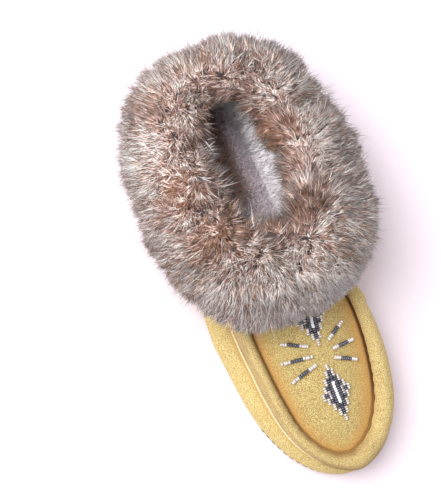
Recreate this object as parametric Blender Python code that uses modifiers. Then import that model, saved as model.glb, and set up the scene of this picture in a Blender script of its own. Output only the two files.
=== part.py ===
"""A soft suede moccasin slipper for the right foot: a puffed side wall rolled up round an apron,
a padded sole and a deep rabbit fur collar.

Metres, +Z up. The toe points to -Y, the heel to +Y and the big toe's side to +X. The origin is
under the middle of the whole slipper, at floor level.
"""

from collections import namedtuple

import bmesh
import bpy
import numpy as np
from mathutils import Vector
from mathutils.bvhtree import BVHTree

MM = 0.001

# ---------------------------------------------------------------- driving sizes
SOLE_LENGTH = 258 * MM
TOE_SPRING = 4 * MM
SPRING_FROM = 0.78          # share of the length where the toe begins to lift
ARCH_RISE = 1.2 * MM
ARCH_FROM, ARCH_TO = 0.25, 0.55

SUEDE = 1.5 * MM
FLEECE = 2.7 * MM           # pile of the lining, pressed
WALL = SUEDE + FLEECE
GAP = 0.4 * MM              # between pieces sewn or laid against each other

PAD_TOP = 8 * MM            # height of the padded sole's inner floor
INSOLE_TOP = 14.5 * MM
INSOLE_ROUND = 2.5 * MM

THROAT = 0.38               # share where the apron's back corners meet the collar
THROAT_BOW = 19 * MM        # how far the middle of the apron's back edge lies ahead of its corners
BOW_FADES_AT = 0.75         # share where the apron's rows run straight across again

HALF_STATIONS = 44          # stations along each side, from the heel's middle to the toe's
STATIONS = 2 * HALF_STATIONS
INWARD_BLUR = 6             # evens out the direction in which the roll is drawn in round the toe
WALL_STEPS = 2              # faces between two neighbouring points of a wall profile
APRON_COLUMNS = 12
COLLAR_STATIONS = 76
CURVE_STEPS = 12            # steps between two rows of the sole's outline

# ---------------------------------------------------------------- tables, in mm
# The sole's outline: share of the length from the heel, then how far it reaches to each side.
Reach = namedtuple("Reach", "share lateral medial")
SOLE_OUTLINE = (
    Reach(0.006, 16.0, 16.0),
    Reach(0.034, 26.5, 26.5),
    Reach(0.095, 32.4, 32.2),
    Reach(0.200, 34.4, 33.2),
    Reach(0.330, 38.0, 36.4),
    Reach(0.460, 44.0, 45.4),
    Reach(0.580, 46.8, 53.0),
    Reach(0.690, 45.4, 54.0),
    Reach(0.790, 42.0, 50.4),
    Reach(0.870, 35.8, 43.8),
    Reach(0.930, 26.8, 34.4),
    Reach(0.976, 15.0, 20.8),
)
TOE_TIP_MEDIAL = 2.0        # the toe's tip lies this far to the big toe's side

# The side wall's profile at each share: (inset from the sole's outline, height) of its points,
# from the sole seam up over the roll to the top edge.
Profile = namedtuple("Profile", "share seam belly shoulder crest lip edge")
WALL_PROFILES = (
    Profile(0.00, (5.0, 17.0), (2.6, 26.0), (1.6, 37.0), (1.8, 47.0), (2.5, 55.0), (4.0, 62.0)),
    Profile(0.12, (5.0, 17.0), (2.6, 26.0), (0.8, 37.0), (-0.4, 47.0), (-1.0, 54.5), (-1.0, 61.5)),
    Profile(0.28, (6.5, 17.0), (3.4, 27.0), (0.4, 38.0), (-1.6, 47.0), (-2.4, 54.0), (-2.2, 60.5)),
    Profile(0.38, (9.0, 17.6), (5.6, 27.0), (2.6, 38.0), (3.4, 49.0), (7.0, 57.0), (12.0, 60.5)),
    Profile(0.46, (11.0, 18.0), (7.6, 27.0), (5.4, 38.0), (7.6, 48.2), (12.0, 52.8), (16.4, 51.8)),
    Profile(0.55, (12.0, 18.0), (8.8, 27.0), (7.4, 37.0), (10.4, 45.2), (15.2, 46.2), (18.0, 42.6)),
    Profile(0.65, (11.4, 18.0), (8.2, 26.5), (7.0, 34.5), (11.0, 41.8), (15.8, 41.8), (18.4, 37.4)),
    Profile(0.80, (9.0, 18.0), (6.0, 25.5), (5.2, 32.0), (10.2, 38.6), (15.8, 37.6), (18.5, 32.6)),
    Profile(1.00, (5.5, 17.0), (3.2, 23.6), (3.0, 29.4), (8.6, 34.8), (14.4, 33.4), (17.0, 28.8)),
)

# The outer side stands less full over its seam, and its roll is narrower by the toe: what is
# added there to each inset of the wall's profile.
OuterSide = namedtuple("OuterSide", "share seam belly shoulder crest lip edge")
OUTER_SIDE = (
    OuterSide(0.00, 0.0, 0.0, 0.0, 0.0, 0.0, 0.0),
    OuterSide(0.34, 0.0, 0.0, 0.0, 0.0, 0.0, 0.0),
    OuterSide(0.46, 0.6, 1.6, 1.4, 0.4, 0.0, 0.0),
    OuterSide(0.60, 1.2, 3.0, 2.8, 1.0, 0.0, 0.0),
    OuterSide(0.78, 1.4, 3.2, 2.6, 0.4, -1.2, -1.4),
    OuterSide(0.88, 1.8, 3.4, 2.2, -0.6, -2.6, -3.0),
    OuterSide(0.95, 2.0, 3.2, 1.8, -0.6, -2.4, -2.8),
    OuterSide(1.00, 1.6, 2.0, 1.2, -0.2, -1.0, -1.2),
)
OUTER_SIDE_FADES = (8 * MM, -12 * MM)   # from this far to the big toe's side to this far to the outer

# How far the apron's middle stands above its edges.
Crown = namedtuple("Crown", "share height")
APRON_CROWN = (
    Crown(0.38, 14.0),
    Crown(0.53, 11.5),
    Crown(0.63, 9.5),
    Crown(0.75, 7.5),
    Crown(0.87, 5.0),
    Crown(1.00, 0.0),
)

# The padded sole's rounded side, from its seam down to the floor. The inset is a share of the
# seam's plus some millimetres, the height a share of the seam's.
SideStep = namedtuple("SideStep", "seam_share inset height")
SOLE_SIDE = (
    SideStep(0.52, 0.0, 0.87),
    SideStep(0.16, 0.0, 0.67),
    SideStep(0.00, 0.0, 0.42),
    SideStep(0.00, 1.2, 0.19),
    SideStep(0.00, 4.2, 0.03),
    SideStep(0.00, 8.0, 0.0),
)

# The fur collar in plan: ovals round its outside, along its crest and round its hole, each with
# its own middle ahead of the sole's (toward the heel) and its half sizes.
Oval = namedtuple("Oval", "middle half_width half_length")
FUR_OUTSIDE = Oval(62 * MM, 70 * MM, 87 * MM)
FUR_CREST = Oval(67 * MM, 43 * MM, 60 * MM)
FUR_HOLE = Oval(73 * MM, 19 * MM, 34 * MM)
FUR_MEDIAL = 1 * MM         # the collar lies this far to the big toe's side
OVAL_POWER = 2.4            # 2 is an ellipse, more is squarer

# The collar's section, with heights above the floor. The fringe's share counts from the opening's
# edge to the outer oval, inner shares from the crest to the hole, outer ones from it to the outside.
FurSection = namedtuple("FurSection", "fringe inner outer")
FUR_BACK = FurSection(
    fringe=(0.02, 44.5),
    inner=((0.96, 70), (1, 79), (0.62, 90)),
    outer=((0, 96), (0.38, 93.5), (0.76, 85), (0.96, 73), (1, 61), (0.85, 51), (0.45, 46)),
)
FUR_SIDE = FurSection(
    fringe=(0.02, 44.0),
    inner=((0.96, 70), (1, 80), (0.62, 91)),
    outer=((0, 97.5), (0.38, 95), (0.76, 87), (0.96, 76), (1, 63), (0.85, 52), (0.5, 46)),
)
FUR_FRONT = FurSection(
    fringe=(0.93, 54.0),
    inner=((0.94, 83), (1, 89), (0.62, 96.5)),
    outer=((0, 100.5), (0.35, 98.5), (0.66, 92), (0.89, 82), (1, 72), (1.01, 65), (0.97, 59)),
)
UNDER_INSIDE = (0.55, 2.5 * MM)     # the fur's underside inside: share of the way in, height over the edge
HUG_SHARES = (0, 0.2, 0.4, 0.6, 0.8, 0.96)      # of the way from the fringe to the edge
HUG_FROM = (8 * MM, 36 * MM)    # rays that find the suede aim at this far inside, this high
HUG_GAP = 0.8 * MM
HUG_GAP_OVER_ROLL = 3.0 * MM

# ---------------------------------------------------------------- materials
Finish = namedtuple("Finish", "colour roughness")
FINISHES = {
    "sole_suede": Finish((0.72, 0.46, 0.13), 0.95),
    "wall_suede": Finish((0.76, 0.50, 0.15), 0.95),
    "apron_suede": Finish((0.78, 0.52, 0.16), 0.95),
    "insole_fleece": Finish((0.80, 0.76, 0.76), 1.0),
    "collar_fur": Finish((0.36, 0.27, 0.22), 0.9),
}

Outline = namedtuple("Outline", "places inward shares")


# ---------------------------------------------------------------- curves
def hermite(knots, values, at):
    """The values at these places, on a smooth curve through the values at the knots."""
    slopes = np.gradient(values, knots, axis=0)
    span = np.clip(np.searchsorted(knots, at, side="right") - 1, 0, len(knots) - 2)
    width = (knots[span + 1] - knots[span])[:, None]
    t = (at - knots[span])[:, None] / width
    from_start = (1 + 2 * t) * (1 - t) ** 2 * values[span] + t * (1 - t) ** 2 * width * slopes[span]
    to_end = t**2 * (3 - 2 * t) * values[span + 1] + t**2 * (t - 1) * width * slopes[span + 1]
    return from_start + to_end


def from_table(rows, shares):
    """A table's columns, in metres, at these shares of the length."""
    knots = np.array([row.share for row in rows])
    values = np.array([np.ravel(row[1:]) for row in rows], float)
    return hermite(knots, values, np.asarray(shares)) * MM


def chord_knots(points):
    """Distances along the corners, by the root of each chord so that no span overshoots."""
    return np.r_[0, np.cumsum(np.sqrt(np.linalg.norm(np.diff(points, axis=0), axis=1)))]


def through(points, steps, closed=False):
    """Points on a smooth curve through these ones, with this many steps between two of them."""
    points = np.asarray(points, float)
    count = len(points) if closed else len(points) - 1
    lead = 3 if closed else 0
    if closed:
        points = np.vstack([points[-lead:], points, points[: lead + 1]])
    knots = chord_knots(points)
    fine = np.interp(np.arange(count * steps + 1) / steps + lead, np.arange(len(knots)), knots)
    curve = hermite(knots, points, fine)
    return curve[:-1] if closed else curve


def evenly(points, count):
    """The same line cut into this many equal lengths."""
    along = np.r_[0, np.cumsum(np.linalg.norm(np.diff(points, axis=0), axis=1))]
    cuts = np.linspace(0, along[-1], count + 1)
    return np.stack([np.interp(cuts, along, axis) for axis in points.T], axis=1)


def blurred_round(rows, times):
    """Rows of a closed line, each drawn halfway to its neighbours this many times."""
    for _ in range(times):
        rows = (rows + (np.roll(rows, 1, axis=0) + np.roll(rows, -1, axis=0)) / 2) / 2
    return rows


def smooth_step(low, high, value):
    """0 below the low value, 1 above the high one and an easy rise between."""
    t = np.clip((value - low) / (high - low), 0, 1)
    return t * t * (3 - 2 * t)


# ---------------------------------------------------------------- the last's shape
def sole_outline():
    """Stations round the sole, from the heel's middle by the outer side to the toe and back."""
    heel_y = SOLE_LENGTH / 2

    def place(x, share):
        return (x * MM, heel_y - share * SOLE_LENGTH)

    lateral = [place(-row.lateral, row.share) for row in SOLE_OUTLINE]
    medial = [place(row.medial, row.share) for row in reversed(SOLE_OUTLINE)]
    corners = [place(0, 0), *lateral, place(TOE_TIP_MEDIAL, 1), *medial]
    fine = through(corners, CURVE_STEPS, closed=True)
    toe = CURVE_STEPS * (len(lateral) + 1)
    outer_side = evenly(fine[: toe + 1], HALF_STATIONS)
    inner_side = evenly(np.vstack([fine[toe:], fine[:1]]), HALF_STATIONS)
    places = np.vstack([outer_side[:-1], inner_side[:-1]])
    along = np.roll(places, -1, axis=0) - np.roll(places, 1, axis=0)
    inward = np.stack([-along[:, 1], along[:, 0]], axis=1)
    inward = blurred_round(inward, INWARD_BLUR)
    inward /= np.linalg.norm(inward, axis=1, keepdims=True)
    return Outline(places, inward, (heel_y - places[:, 1]) / SOLE_LENGTH)


def ring(outline, inset, height):
    """The outline moved inward by the inset and up to the height, both one per station."""
    plan = outline.places + outline.inward * np.broadcast_to(inset, STATIONS)[:, None]
    return np.column_stack([plan, np.broadcast_to(height, STATIONS)])


def wall_profiles(outline):
    """Each station's wall profile, as (inset, height) of its points."""
    profiles = from_table(WALL_PROFILES, outline.shares).reshape(STATIONS, -1, 2)
    outer = smooth_step(*OUTER_SIDE_FADES, outline.places[:, :1])
    profiles[:, :, 0] += outer * from_table(OUTER_SIDE, outline.shares)
    return profiles


def wall_surface(outline, profiles):
    """The side wall's outer surface: for each station its points from the seam to the top edge."""
    curves = np.array([through(profile, WALL_STEPS) for profile in profiles])
    rings = [ring(outline, inset, height) for inset, height in curves.transpose(1, 2, 0)]
    return np.array(rings).transpose(1, 0, 2)


def apron_surface(outline, wall, throat, gap):
    """The apron's outer surface: rows across it, from the throat to the tip by the toe."""
    edge = wall[:, -1].copy()
    edge[:, :2] += outline.inward * gap
    across = np.linspace(-1, 1, APRON_COLUMNS + 1)[:, None]
    rows = []
    for station in range(throat, HALF_STATIONS):
        lateral, medial = edge[station], edge[-station]
        share = outline.shares[station]
        crown = from_table(APRON_CROWN, [share])[0, 0]
        bow = THROAT_BOW * (1 - smooth_step(outline.shares[throat], BOW_FADES_AT, share))
        middle = (1 - across**2) * np.array([0, -bow, crown])
        rows.append(lateral * (1 - across) / 2 + medial * (1 + across) / 2 + middle)
    return np.array(rows), edge[HALF_STATIONS]


# ---------------------------------------------------------------- meshes
def new_object(name, points, faces, finish, thickness=0):
    """One named solid. A thickness turns an outer surface into a shell of it, grown inward."""
    mesh = bpy.data.meshes.new(name)
    mesh.from_pydata([tuple(p) for p in points], [], faces)
    if not thickness:
        face_outward(mesh)
    mesh.shade_smooth()
    mesh.materials.append(material(finish))
    made = bpy.data.objects.new(name, mesh)
    bpy.data.collections["moccasin_slipper"].objects.link(made)
    if thickness:
        shell = made.modifiers.new("wall thickness", "SOLIDIFY")
        shell.thickness = thickness
        shell.offset = -1
        shell.use_rim = True
        shell.use_quality_normals = True
    return made


def face_outward(mesh):
    """Turns a closed mesh's faces to the outside."""
    edit = bmesh.new()
    edit.from_mesh(mesh)
    bmesh.ops.recalc_face_normals(edit, faces=edit.faces)
    edit.to_mesh(mesh)
    edit.free()


def band_faces(rows, columns, closed_rows=False, closed_columns=False):
    """Quads between the points of a grid, numbered row by row."""
    faces = []
    for r in range(rows if closed_rows else rows - 1):
        for c in range(columns if closed_columns else columns - 1):
            after_r, after_c = (r + 1) % rows, (c + 1) % columns
            corners = ((r, c), (after_r, c), (after_r, after_c), (r, after_c))
            faces.append(tuple(row * columns + column for row, column in corners))
    return faces


def zip_faces(first):
    """Faces across the ring whose points start at this number, from side to side."""
    faces = []
    for i in range(HALF_STATIONS):
        corners = (i, i + 1, (STATIONS - i - 1) % STATIONS, (STATIONS - i) % STATIONS)
        faces.append(tuple(first + c for c in dict.fromkeys(corners)))
    return faces


def stack_of_rings(name, rings, finish):
    """A closed solid through rings of stations, with its first and last ring zipped shut."""
    points = np.vstack(rings)
    faces = band_faces(len(rings), STATIONS, closed_columns=True)
    faces += zip_faces(0) + zip_faces((len(rings) - 1) * STATIONS)
    return new_object(name, points, faces, finish)


def material(name):
    """The Principled material of that finish, made once."""
    made = bpy.data.materials.new(name)
    made.use_nodes = True
    shader = made.node_tree.nodes["Principled BSDF"]
    shader.inputs["Base Color"].default_value = (*FINISHES[name].colour, 1)
    shader.inputs["Roughness"].default_value = FINISHES[name].roughness
    shader.inputs["Metallic"].default_value = 0
    return made


# ---------------------------------------------------------------- pieces
def sole_lift(shares):
    """How far the underside stands off the floor: a slight arch, and the toe's spring."""
    spring = np.clip((shares - SPRING_FROM) / (1 - SPRING_FROM), 0, None) ** 2
    into_arch = np.clip((shares - ARCH_FROM) / (ARCH_TO - ARCH_FROM), 0, 1)
    return TOE_SPRING * spring + ARCH_RISE * np.sin(np.pi * into_arch) ** 2


def make_sole(outline, profiles):
    """The padded sole: a shallow cup of suede over foam, with a soft rounded side."""
    seam_inset, seam_height = profiles[:, 0, 0], profiles[:, 0, 1] - GAP
    inner = seam_inset + WALL
    lift = sole_lift(outline.shares)
    rings = [
        ring(outline, inner + 3 * MM, PAD_TOP),
        ring(outline, inner + 0.6 * MM, PAD_TOP + 2 * MM),
        ring(outline, inner, seam_height - 0.5 * MM),
        ring(outline, seam_inset, seam_height),
    ]
    for step in SOLE_SIDE:
        inset = step.seam_share * seam_inset + step.inset * MM
        rings.append(ring(outline, inset, lift + step.height * (seam_height - lift)))
    return stack_of_rings("sole", rings, "sole_suede")


def make_insole(outline, profiles):
    """The loose fleece pad that lies inside the sole's cup."""
    inset = profiles[:, 0, 0] + WALL + 1.3 * MM
    low = PAD_TOP + GAP
    rings = [
        ring(outline, inset + INSOLE_ROUND, low),
        ring(outline, inset + 0.6 * MM, low + INSOLE_ROUND),
        ring(outline, inset + 0.4 * MM, INSOLE_TOP - INSOLE_ROUND),
        ring(outline, inset + INSOLE_ROUND, INSOLE_TOP),
    ]
    return stack_of_rings("insole", rings, "insole_fleece")


def make_upper(wall):
    """The side wall with its roll: a hollow band, open above and underneath."""
    faces = band_faces(STATIONS, wall.shape[1], closed_rows=True)
    return new_object("upper", wall.reshape(-1, 3), faces, "wall_suede", WALL)


def make_vamp(outline, wall, throat):
    """The apron's plug, recessed inside the roll."""
    points, faces = apron_mesh(*apron_surface(outline, wall, throat, GAP))
    return new_object("vamp", points, faces, "apron_suede", WALL)


def apron_mesh(rows, tip):
    """Points and faces of the apron's surface, closed to one point by the toe."""
    count, columns = rows.shape[:2]
    points = np.vstack([rows.reshape(-1, 3), tip])
    faces = band_faces(count, columns)
    last = (count - 1) * columns
    faces += [(last + c, len(points) - 1, last + c + 1) for c in range(columns - 1)]
    return points, faces


def suede_skin(outline, wall, throat):
    """The outer surface of wall and apron with no gap between them, to find places on it."""
    apron_points, apron_faces = apron_mesh(*apron_surface(outline, wall, throat, 0))
    wall_points = wall.reshape(-1, 3)
    faces = band_faces(STATIONS, wall.shape[1], closed_rows=True)
    faces += [tuple(i + len(wall_points) for i in face) for face in apron_faces]
    points = [Vector(p) for p in np.vstack([wall_points, apron_points])]
    return BVHTree.FromPolygons(points, faces)


def opening_edge(wall, apron_rows, throat):
    """Points round the foot opening's edge: the wall's top edge, then the apron's back edge."""
    top = wall[:, -1]
    return np.vstack([top[-throat:], top[: throat + 1], apron_rows[0, 1:-1]])


def cross_edge(start, heading, edge):
    """Where the way out from this place crosses the opening's edge."""
    after = np.roll(edge, -1, axis=0)
    side = np.array([-heading[1], heading[0]])
    off, off_after = (edge[:, :2] - start) @ side, (after[:, :2] - start) @ side
    crosses = np.flatnonzero(off * off_after < 0)
    share = off[crosses] / (off[crosses] - off_after[crosses])
    found = edge[crosses] + share[:, None] * (after[crosses] - edge[crosses])
    out = (found[:, :2] - start) @ heading
    return found[np.argmin(np.where(out > 0, out, np.inf))]


def on_oval(oval, angle):
    """The oval's point at this angle round its middle."""
    heading = np.array([np.cos(angle), np.sin(angle)])
    half = np.array([oval.half_width, oval.half_length])
    reach = (np.abs(heading / half) ** OVAL_POWER).sum() ** (-1 / OVAL_POWER)
    return np.array([FUR_MEDIAL, oval.middle]) + reach * heading


def fur_section(angle):
    """The section at this angle, between those of back, side and front."""
    toward_heel = np.sin(angle)
    other = FUR_BACK if toward_heel > 0 else FUR_FRONT
    share = smooth_step(0.15, 0.95, abs(toward_heel))
    pairs = zip(FUR_SIDE, other)
    return FurSection(*(np.array(a) * (1 - share) + np.array(b) * share for a, b in pairs))


def collar_section(angle, edge, skin):
    """One section of the fur collar, hugging the suede below and deep above."""
    hole, outside = on_oval(FUR_HOLE, angle), on_oval(FUR_OUTSIDE, angle)
    heading = (outside - hole) / np.linalg.norm(outside - hole)
    rim = cross_edge(hole, heading, edge)
    outward = (outside - rim[:2]) @ heading
    inward = (rim[:2] - hole) @ heading
    crest = on_oval(FUR_CREST, angle)

    def place(out, height):
        return np.array([*(rim[:2] + heading * out), height])

    shape = fur_section(angle)
    fringe = place(shape.fringe[0] * outward, shape.fringe[1] * MM)
    aim = place(-HUG_FROM[0], HUG_FROM[1])
    over_roll = smooth_step(0.5, 0.8, -heading[1]) * smooth_step(0.1, 0.35, abs(heading[0]))
    gap = HUG_GAP + (HUG_GAP_OVER_ROLL - HUG_GAP) * over_roll
    section = []
    for share in HUG_SHARES:
        ray = Vector(fringe * (1 - share) + rim * share - aim).normalized()
        hit, off_suede, _, _ = skin.ray_cast(Vector(aim) + ray * SOLE_LENGTH, -ray)
        section.append(np.array(hit + off_suede * gap))
    section.append(place(gap / 2, rim[2] + gap))
    section.append(place(-UNDER_INSIDE[0] * inward, rim[2] + UNDER_INSIDE[1]))
    for side, points in ((hole, shape.inner), (outside, shape.outer)):
        section += [(*(crest + share * (side - crest)), height * MM) for share, height in points]
    return section


def make_collar(outline, wall, throat):
    """The thick ring of rabbit fur sewn round the foot opening."""
    edge = opening_edge(wall, apron_surface(outline, wall, throat, 0)[0], throat)
    skin = suede_skin(outline, wall, throat)
    angles = np.arange(COLLAR_STATIONS) * 2 * np.pi / COLLAR_STATIONS
    sections = np.array([collar_section(angle, edge, skin) for angle in angles])
    count, around = sections.shape[:2]
    faces = band_faces(count, around, closed_rows=True, closed_columns=True)
    return new_object("fur_collar", sections.reshape(-1, 3), faces, "collar_fur")


def stand_on_origin(pieces):
    """Moves the meshes so that the whole slipper's box stands on the origin."""
    points = np.array([v.co for piece in pieces for v in piece.data.vertices])
    low, high = points.min(axis=0), points.max(axis=0)
    shift = Vector((-(low[0] + high[0]) / 2, -(low[1] + high[1]) / 2, -low[2]))
    for piece in pieces:
        for vertex in piece.data.vertices:
            vertex.co += shift


def build():
    """Clears the scene and makes the slipper's five pieces."""
    for old in list(bpy.data.objects):
        bpy.data.objects.remove(old, do_unlink=True)
    group = bpy.data.collections.new("moccasin_slipper")
    bpy.context.scene.collection.children.link(group)
    outline = sole_outline()
    profiles = wall_profiles(outline)
    wall = wall_surface(outline, profiles)
    throat = int(np.argmin(np.abs(outline.shares[:HALF_STATIONS] - THROAT)))
    stand_on_origin(
        [
            make_sole(outline, profiles),
            make_insole(outline, profiles),
            make_upper(wall),
            make_vamp(outline, wall, throat),
            make_collar(outline, wall, throat),
        ]
    )


build()
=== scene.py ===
# %% [markdown]
# # A beaded suede moccasin slipper with a rabbit fur collar
# The slipper is sewn from a padded suede sole, one suede side wall that is puffed out and rolled up
# round an apron, the apron with its beadwork, a fleece lining and a deep ring of rabbit fur. The packed
# model holds the plain solids of those pieces at their real sizes. This lesson gives each of them its
# finish: every piece starts from its own solid, so that nothing has to be fitted afterwards.

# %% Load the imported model
import math
from collections import namedtuple

import bmesh
import bpy
import numpy as np
from mathutils import Matrix, Vector
from mathutils.bvhtree import BVHTree
from mathutils.kdtree import KDTree


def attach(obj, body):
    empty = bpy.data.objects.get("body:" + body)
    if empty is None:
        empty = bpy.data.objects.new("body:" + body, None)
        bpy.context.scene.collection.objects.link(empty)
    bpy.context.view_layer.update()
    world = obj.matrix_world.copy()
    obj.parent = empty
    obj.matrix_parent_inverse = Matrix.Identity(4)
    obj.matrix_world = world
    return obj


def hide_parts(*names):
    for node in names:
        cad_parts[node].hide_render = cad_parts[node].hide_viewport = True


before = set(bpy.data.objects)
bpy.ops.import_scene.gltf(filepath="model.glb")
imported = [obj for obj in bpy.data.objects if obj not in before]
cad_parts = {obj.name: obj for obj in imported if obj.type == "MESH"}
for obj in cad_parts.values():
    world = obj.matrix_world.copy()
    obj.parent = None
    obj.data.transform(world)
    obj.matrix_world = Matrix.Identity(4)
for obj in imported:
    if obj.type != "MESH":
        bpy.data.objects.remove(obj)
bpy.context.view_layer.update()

MM = 0.001
X, Y, Z = range(3)
DRAWING_SEED = 26
print("pieces in the packed model:", ", ".join(sorted(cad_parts)))

# %% [markdown]
# ## Helpers for pieces
# Operators act on whatever is selected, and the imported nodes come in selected, so each step first
# selects only its own piece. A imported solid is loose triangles: its copy is welded and its triangle
# pairs are joined into quads again, because Subdivision Surface rounds quads evenly.


# %% Select, copy and finish a piece
WELD = (bpy.ops.mesh.remove_doubles, {"threshold": 0.01 * MM})
PAIR_TRIANGLES = (bpy.ops.mesh.tris_convert_to_quads, {"face_threshold": 0.7, "shape_threshold": 0.9})


def select_only(piece):
    """Leaves this piece as the only selected and active one."""
    bpy.ops.object.select_all(action="DESELECT")
    piece.select_set(True)
    bpy.context.view_layer.objects.active = piece


def in_edit_mode(piece, *steps):
    """Runs these operators, each one given with its settings, on the whole of the piece."""
    select_only(piece)
    bpy.ops.object.mode_set(mode="EDIT")
    bpy.ops.mesh.select_all(action="SELECT")
    for step, settings in steps:
        step(**settings)
    bpy.ops.object.mode_set(mode="OBJECT")


def new_object(name, data):
    """An object in the scene that shows this data."""
    made = bpy.data.objects.new(name, data)
    bpy.context.scene.collection.objects.link(made)
    return made


def copy_of(node, name):
    """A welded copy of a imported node's mesh, as quads where two triangles make one."""
    piece = new_object(name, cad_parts[node].data.copy())
    piece.data.materials.clear()
    in_edit_mode(piece, WELD, PAIR_TRIANGLES)
    return piece


def apply_modifier(piece, kind, **settings):
    """Adds a modifier, sets it and applies it."""
    select_only(piece)
    added = piece.modifiers.new(kind.title(), kind)
    for name, value in settings.items():
        setattr(added, name, value)
    bpy.ops.object.modifier_apply(modifier=added.name)


def subdivide(piece, levels):
    """Rounds a quad cage into a smooth surface, with its faces shaded smooth."""
    apply_modifier(piece, "SUBSURF", levels=levels, render_levels=levels)
    bpy.ops.object.shade_smooth()


def rows_of(items, name):
    """This vector of each item, as rows of x, y and z."""
    found = np.empty(len(items) * 3, np.float32)
    items.foreach_get(name, found)
    return found.reshape(-1, 3).astype(float)


def points_of(piece):
    """Where a mesh's vertices are."""
    return rows_of(piece.data.vertices, "co")


def normals_of(piece):
    """The directions in which a mesh's vertices face."""
    return rows_of(piece.data.vertex_normals, "vector")


def move_points(piece, points):
    """Puts a mesh's vertices at these places."""
    piece.data.vertices.foreach_set("co", points.astype(np.float32).ravel())
    piece.data.update()


def push_in(piece, depth):
    """Sinks a mesh's vertices along their normals, by one depth or by a depth for each."""
    move_points(piece, points_of(piece) - normals_of(piece) * np.reshape(depth, (-1, 1)))


def paint(piece, name, values):
    """Stores one number for each vertex, for the piece's material to read."""
    layer = piece.data.attributes.new(name, "FLOAT", "POINT")
    layer.data.foreach_set("value", np.asarray(values, np.float32))


def triangles(piece):
    """How many triangles a mesh is drawn with."""
    return sum(len(face.vertices) - 2 for face in piece.data.polygons)


def surface_of(piece):
    """A piece's surface, to cast rays at and to find the nearest place on."""
    faces = [list(face.vertices) for face in piece.data.polygons]
    return BVHTree.FromPolygons(points_of(piece).tolist(), faces)


def tree_of(places):
    """A tree that finds which of these places is the nearest."""
    tree = KDTree(len(places))
    for number, place in enumerate(places):
        tree.insert(place, number)
    tree.balance()
    return tree


# %% [markdown]
# ## Helpers for materials
# Colours are written as the eye sees them, in sRGB, and a shader wants light, so one function turns
# them linear. One function adds a node, sets it and wires it, and every pattern takes its scale from
# a real size: so many features of that many millimetres fit in a metre.


# %% Colour and node helpers
def linear(colour):
    """A hex colour in sRGB as the linear values that a shader wants."""
    channels = [int(colour[i : i + 2], 16) / 255 for i in (1, 3, 5)]
    curve = [c / 12.92 if c <= 0.04045 else ((c + 0.055) / 1.055) ** 2.4 for c in channels]
    return (*curve, 1.0)


def new_material(name, colour, roughness, **sockets):
    """A Principled material. Further sockets are named with underscores for their spaces."""
    made = bpy.data.materials.new(name)
    made.use_nodes = True
    shader = made.node_tree.nodes["Principled BSDF"]
    shader.inputs["Base Color"].default_value = linear(colour)
    shader.inputs["Roughness"].default_value = roughness
    for socket, value in sockets.items():
        shader.inputs[socket.replace("_", " ")].default_value = value
    return made


def add_node(material, kind, settings, links=()):
    """Adds a node. Settings name its properties or sockets, links pair a socket with what feeds it."""
    tree = material.node_tree
    added = tree.nodes.new(kind)
    for name, value in settings.items():
        if isinstance(name, str) and hasattr(added, name):
            setattr(added, name, value)
        else:
            added.inputs[name].default_value = value
    for name, source in dict(links).items():
        tree.links.new(source, added.inputs[name])
    return added


def features_per_metre(size):
    """The scale of a pattern whose features are this large, in metres."""
    return 1 / size


def mottling(material, size, detail=2.0, roughness=0.5):
    """A random pattern with features this large, in metres, fixed to the piece."""
    place = add_node(material, "ShaderNodeTexCoord", {}).outputs["Object"]
    settings = {"Scale": features_per_metre(size), "Detail": detail, "Roughness": roughness}
    return add_node(material, "ShaderNodeTexNoise", settings, {"Vector": place}).outputs[0]


def laid_over(material, value, span, under, over, most=1.0):
    """A colour laid over another as a value rises through a span, each a hex colour or a node's socket."""
    rising = {1: span[0], 2: span[1], 3: 0.0, 4: most}
    share = add_node(material, "ShaderNodeMapRange", rising, {0: value}).outputs[0]
    settings, links = {"data_type": "RGBA"}, {0: share}
    for socket, colour in ((6, under), (7, over)):
        if isinstance(colour, str):
            settings[socket] = linear(colour)
        else:
            links[socket] = colour
    return add_node(material, "ShaderNodeMix", settings, links).outputs[2]


def finish_with(material, **sockets):
    """Feeds these sockets of the material's shader."""
    shader = material.node_tree.nodes["Principled BSDF"]
    for name, source in sockets.items():
        material.node_tree.links.new(source, shader.inputs[name.replace("_", " ")])


# %% [markdown]
# ## The camera, the floor and the light
# The slipper stands flat on its sole and the camera leans over it, 12 degrees toward its outer side,
# and is rolled by 24 degrees, so that the toe points down and to the right. It looks from 0.75 m
# with a long lens. The light is a studio's: a bright room all round, one large soft lamp beyond the
# heel's outer side, a small spot beside the camera that reaches down into the foot opening, and a
# floor of plain white paper.

# %% Camera
CAMERA_ROLL = math.radians(24)
CAMERA_LEAN = math.radians(12)
CAMERA_HEIGHT = 750 * MM
AIM = Vector((24.3, -16.8, 0)) * MM     # how far the middle of the view is set off, along the camera's axes
LONG_SIDE_MM, LENS_MM = 36.0, 87.3
NEAREST_SEEN = 50 * MM

to_view = Matrix.Rotation(CAMERA_ROLL, 3, "Z") @ Matrix.Rotation(CAMERA_LEAN, 3, "Y")
view_right, view_up, view_back = to_view.row
lens = bpy.data.cameras.new("studio_camera")
lens.lens = LENS_MM
lens.sensor_width = LONG_SIDE_MM
lens.clip_start = NEAREST_SEEN
camera = new_object("studio_camera", lens)
camera_place = to_view.transposed() @ (Vector((0, 0, CAMERA_HEIGHT)) - AIM)
camera.matrix_world = Matrix.Translation(camera_place) @ to_view.transposed().to_4x4()
bpy.context.scene.camera = camera
print("camera at", [round(x, 3) for x in camera_place])

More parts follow.
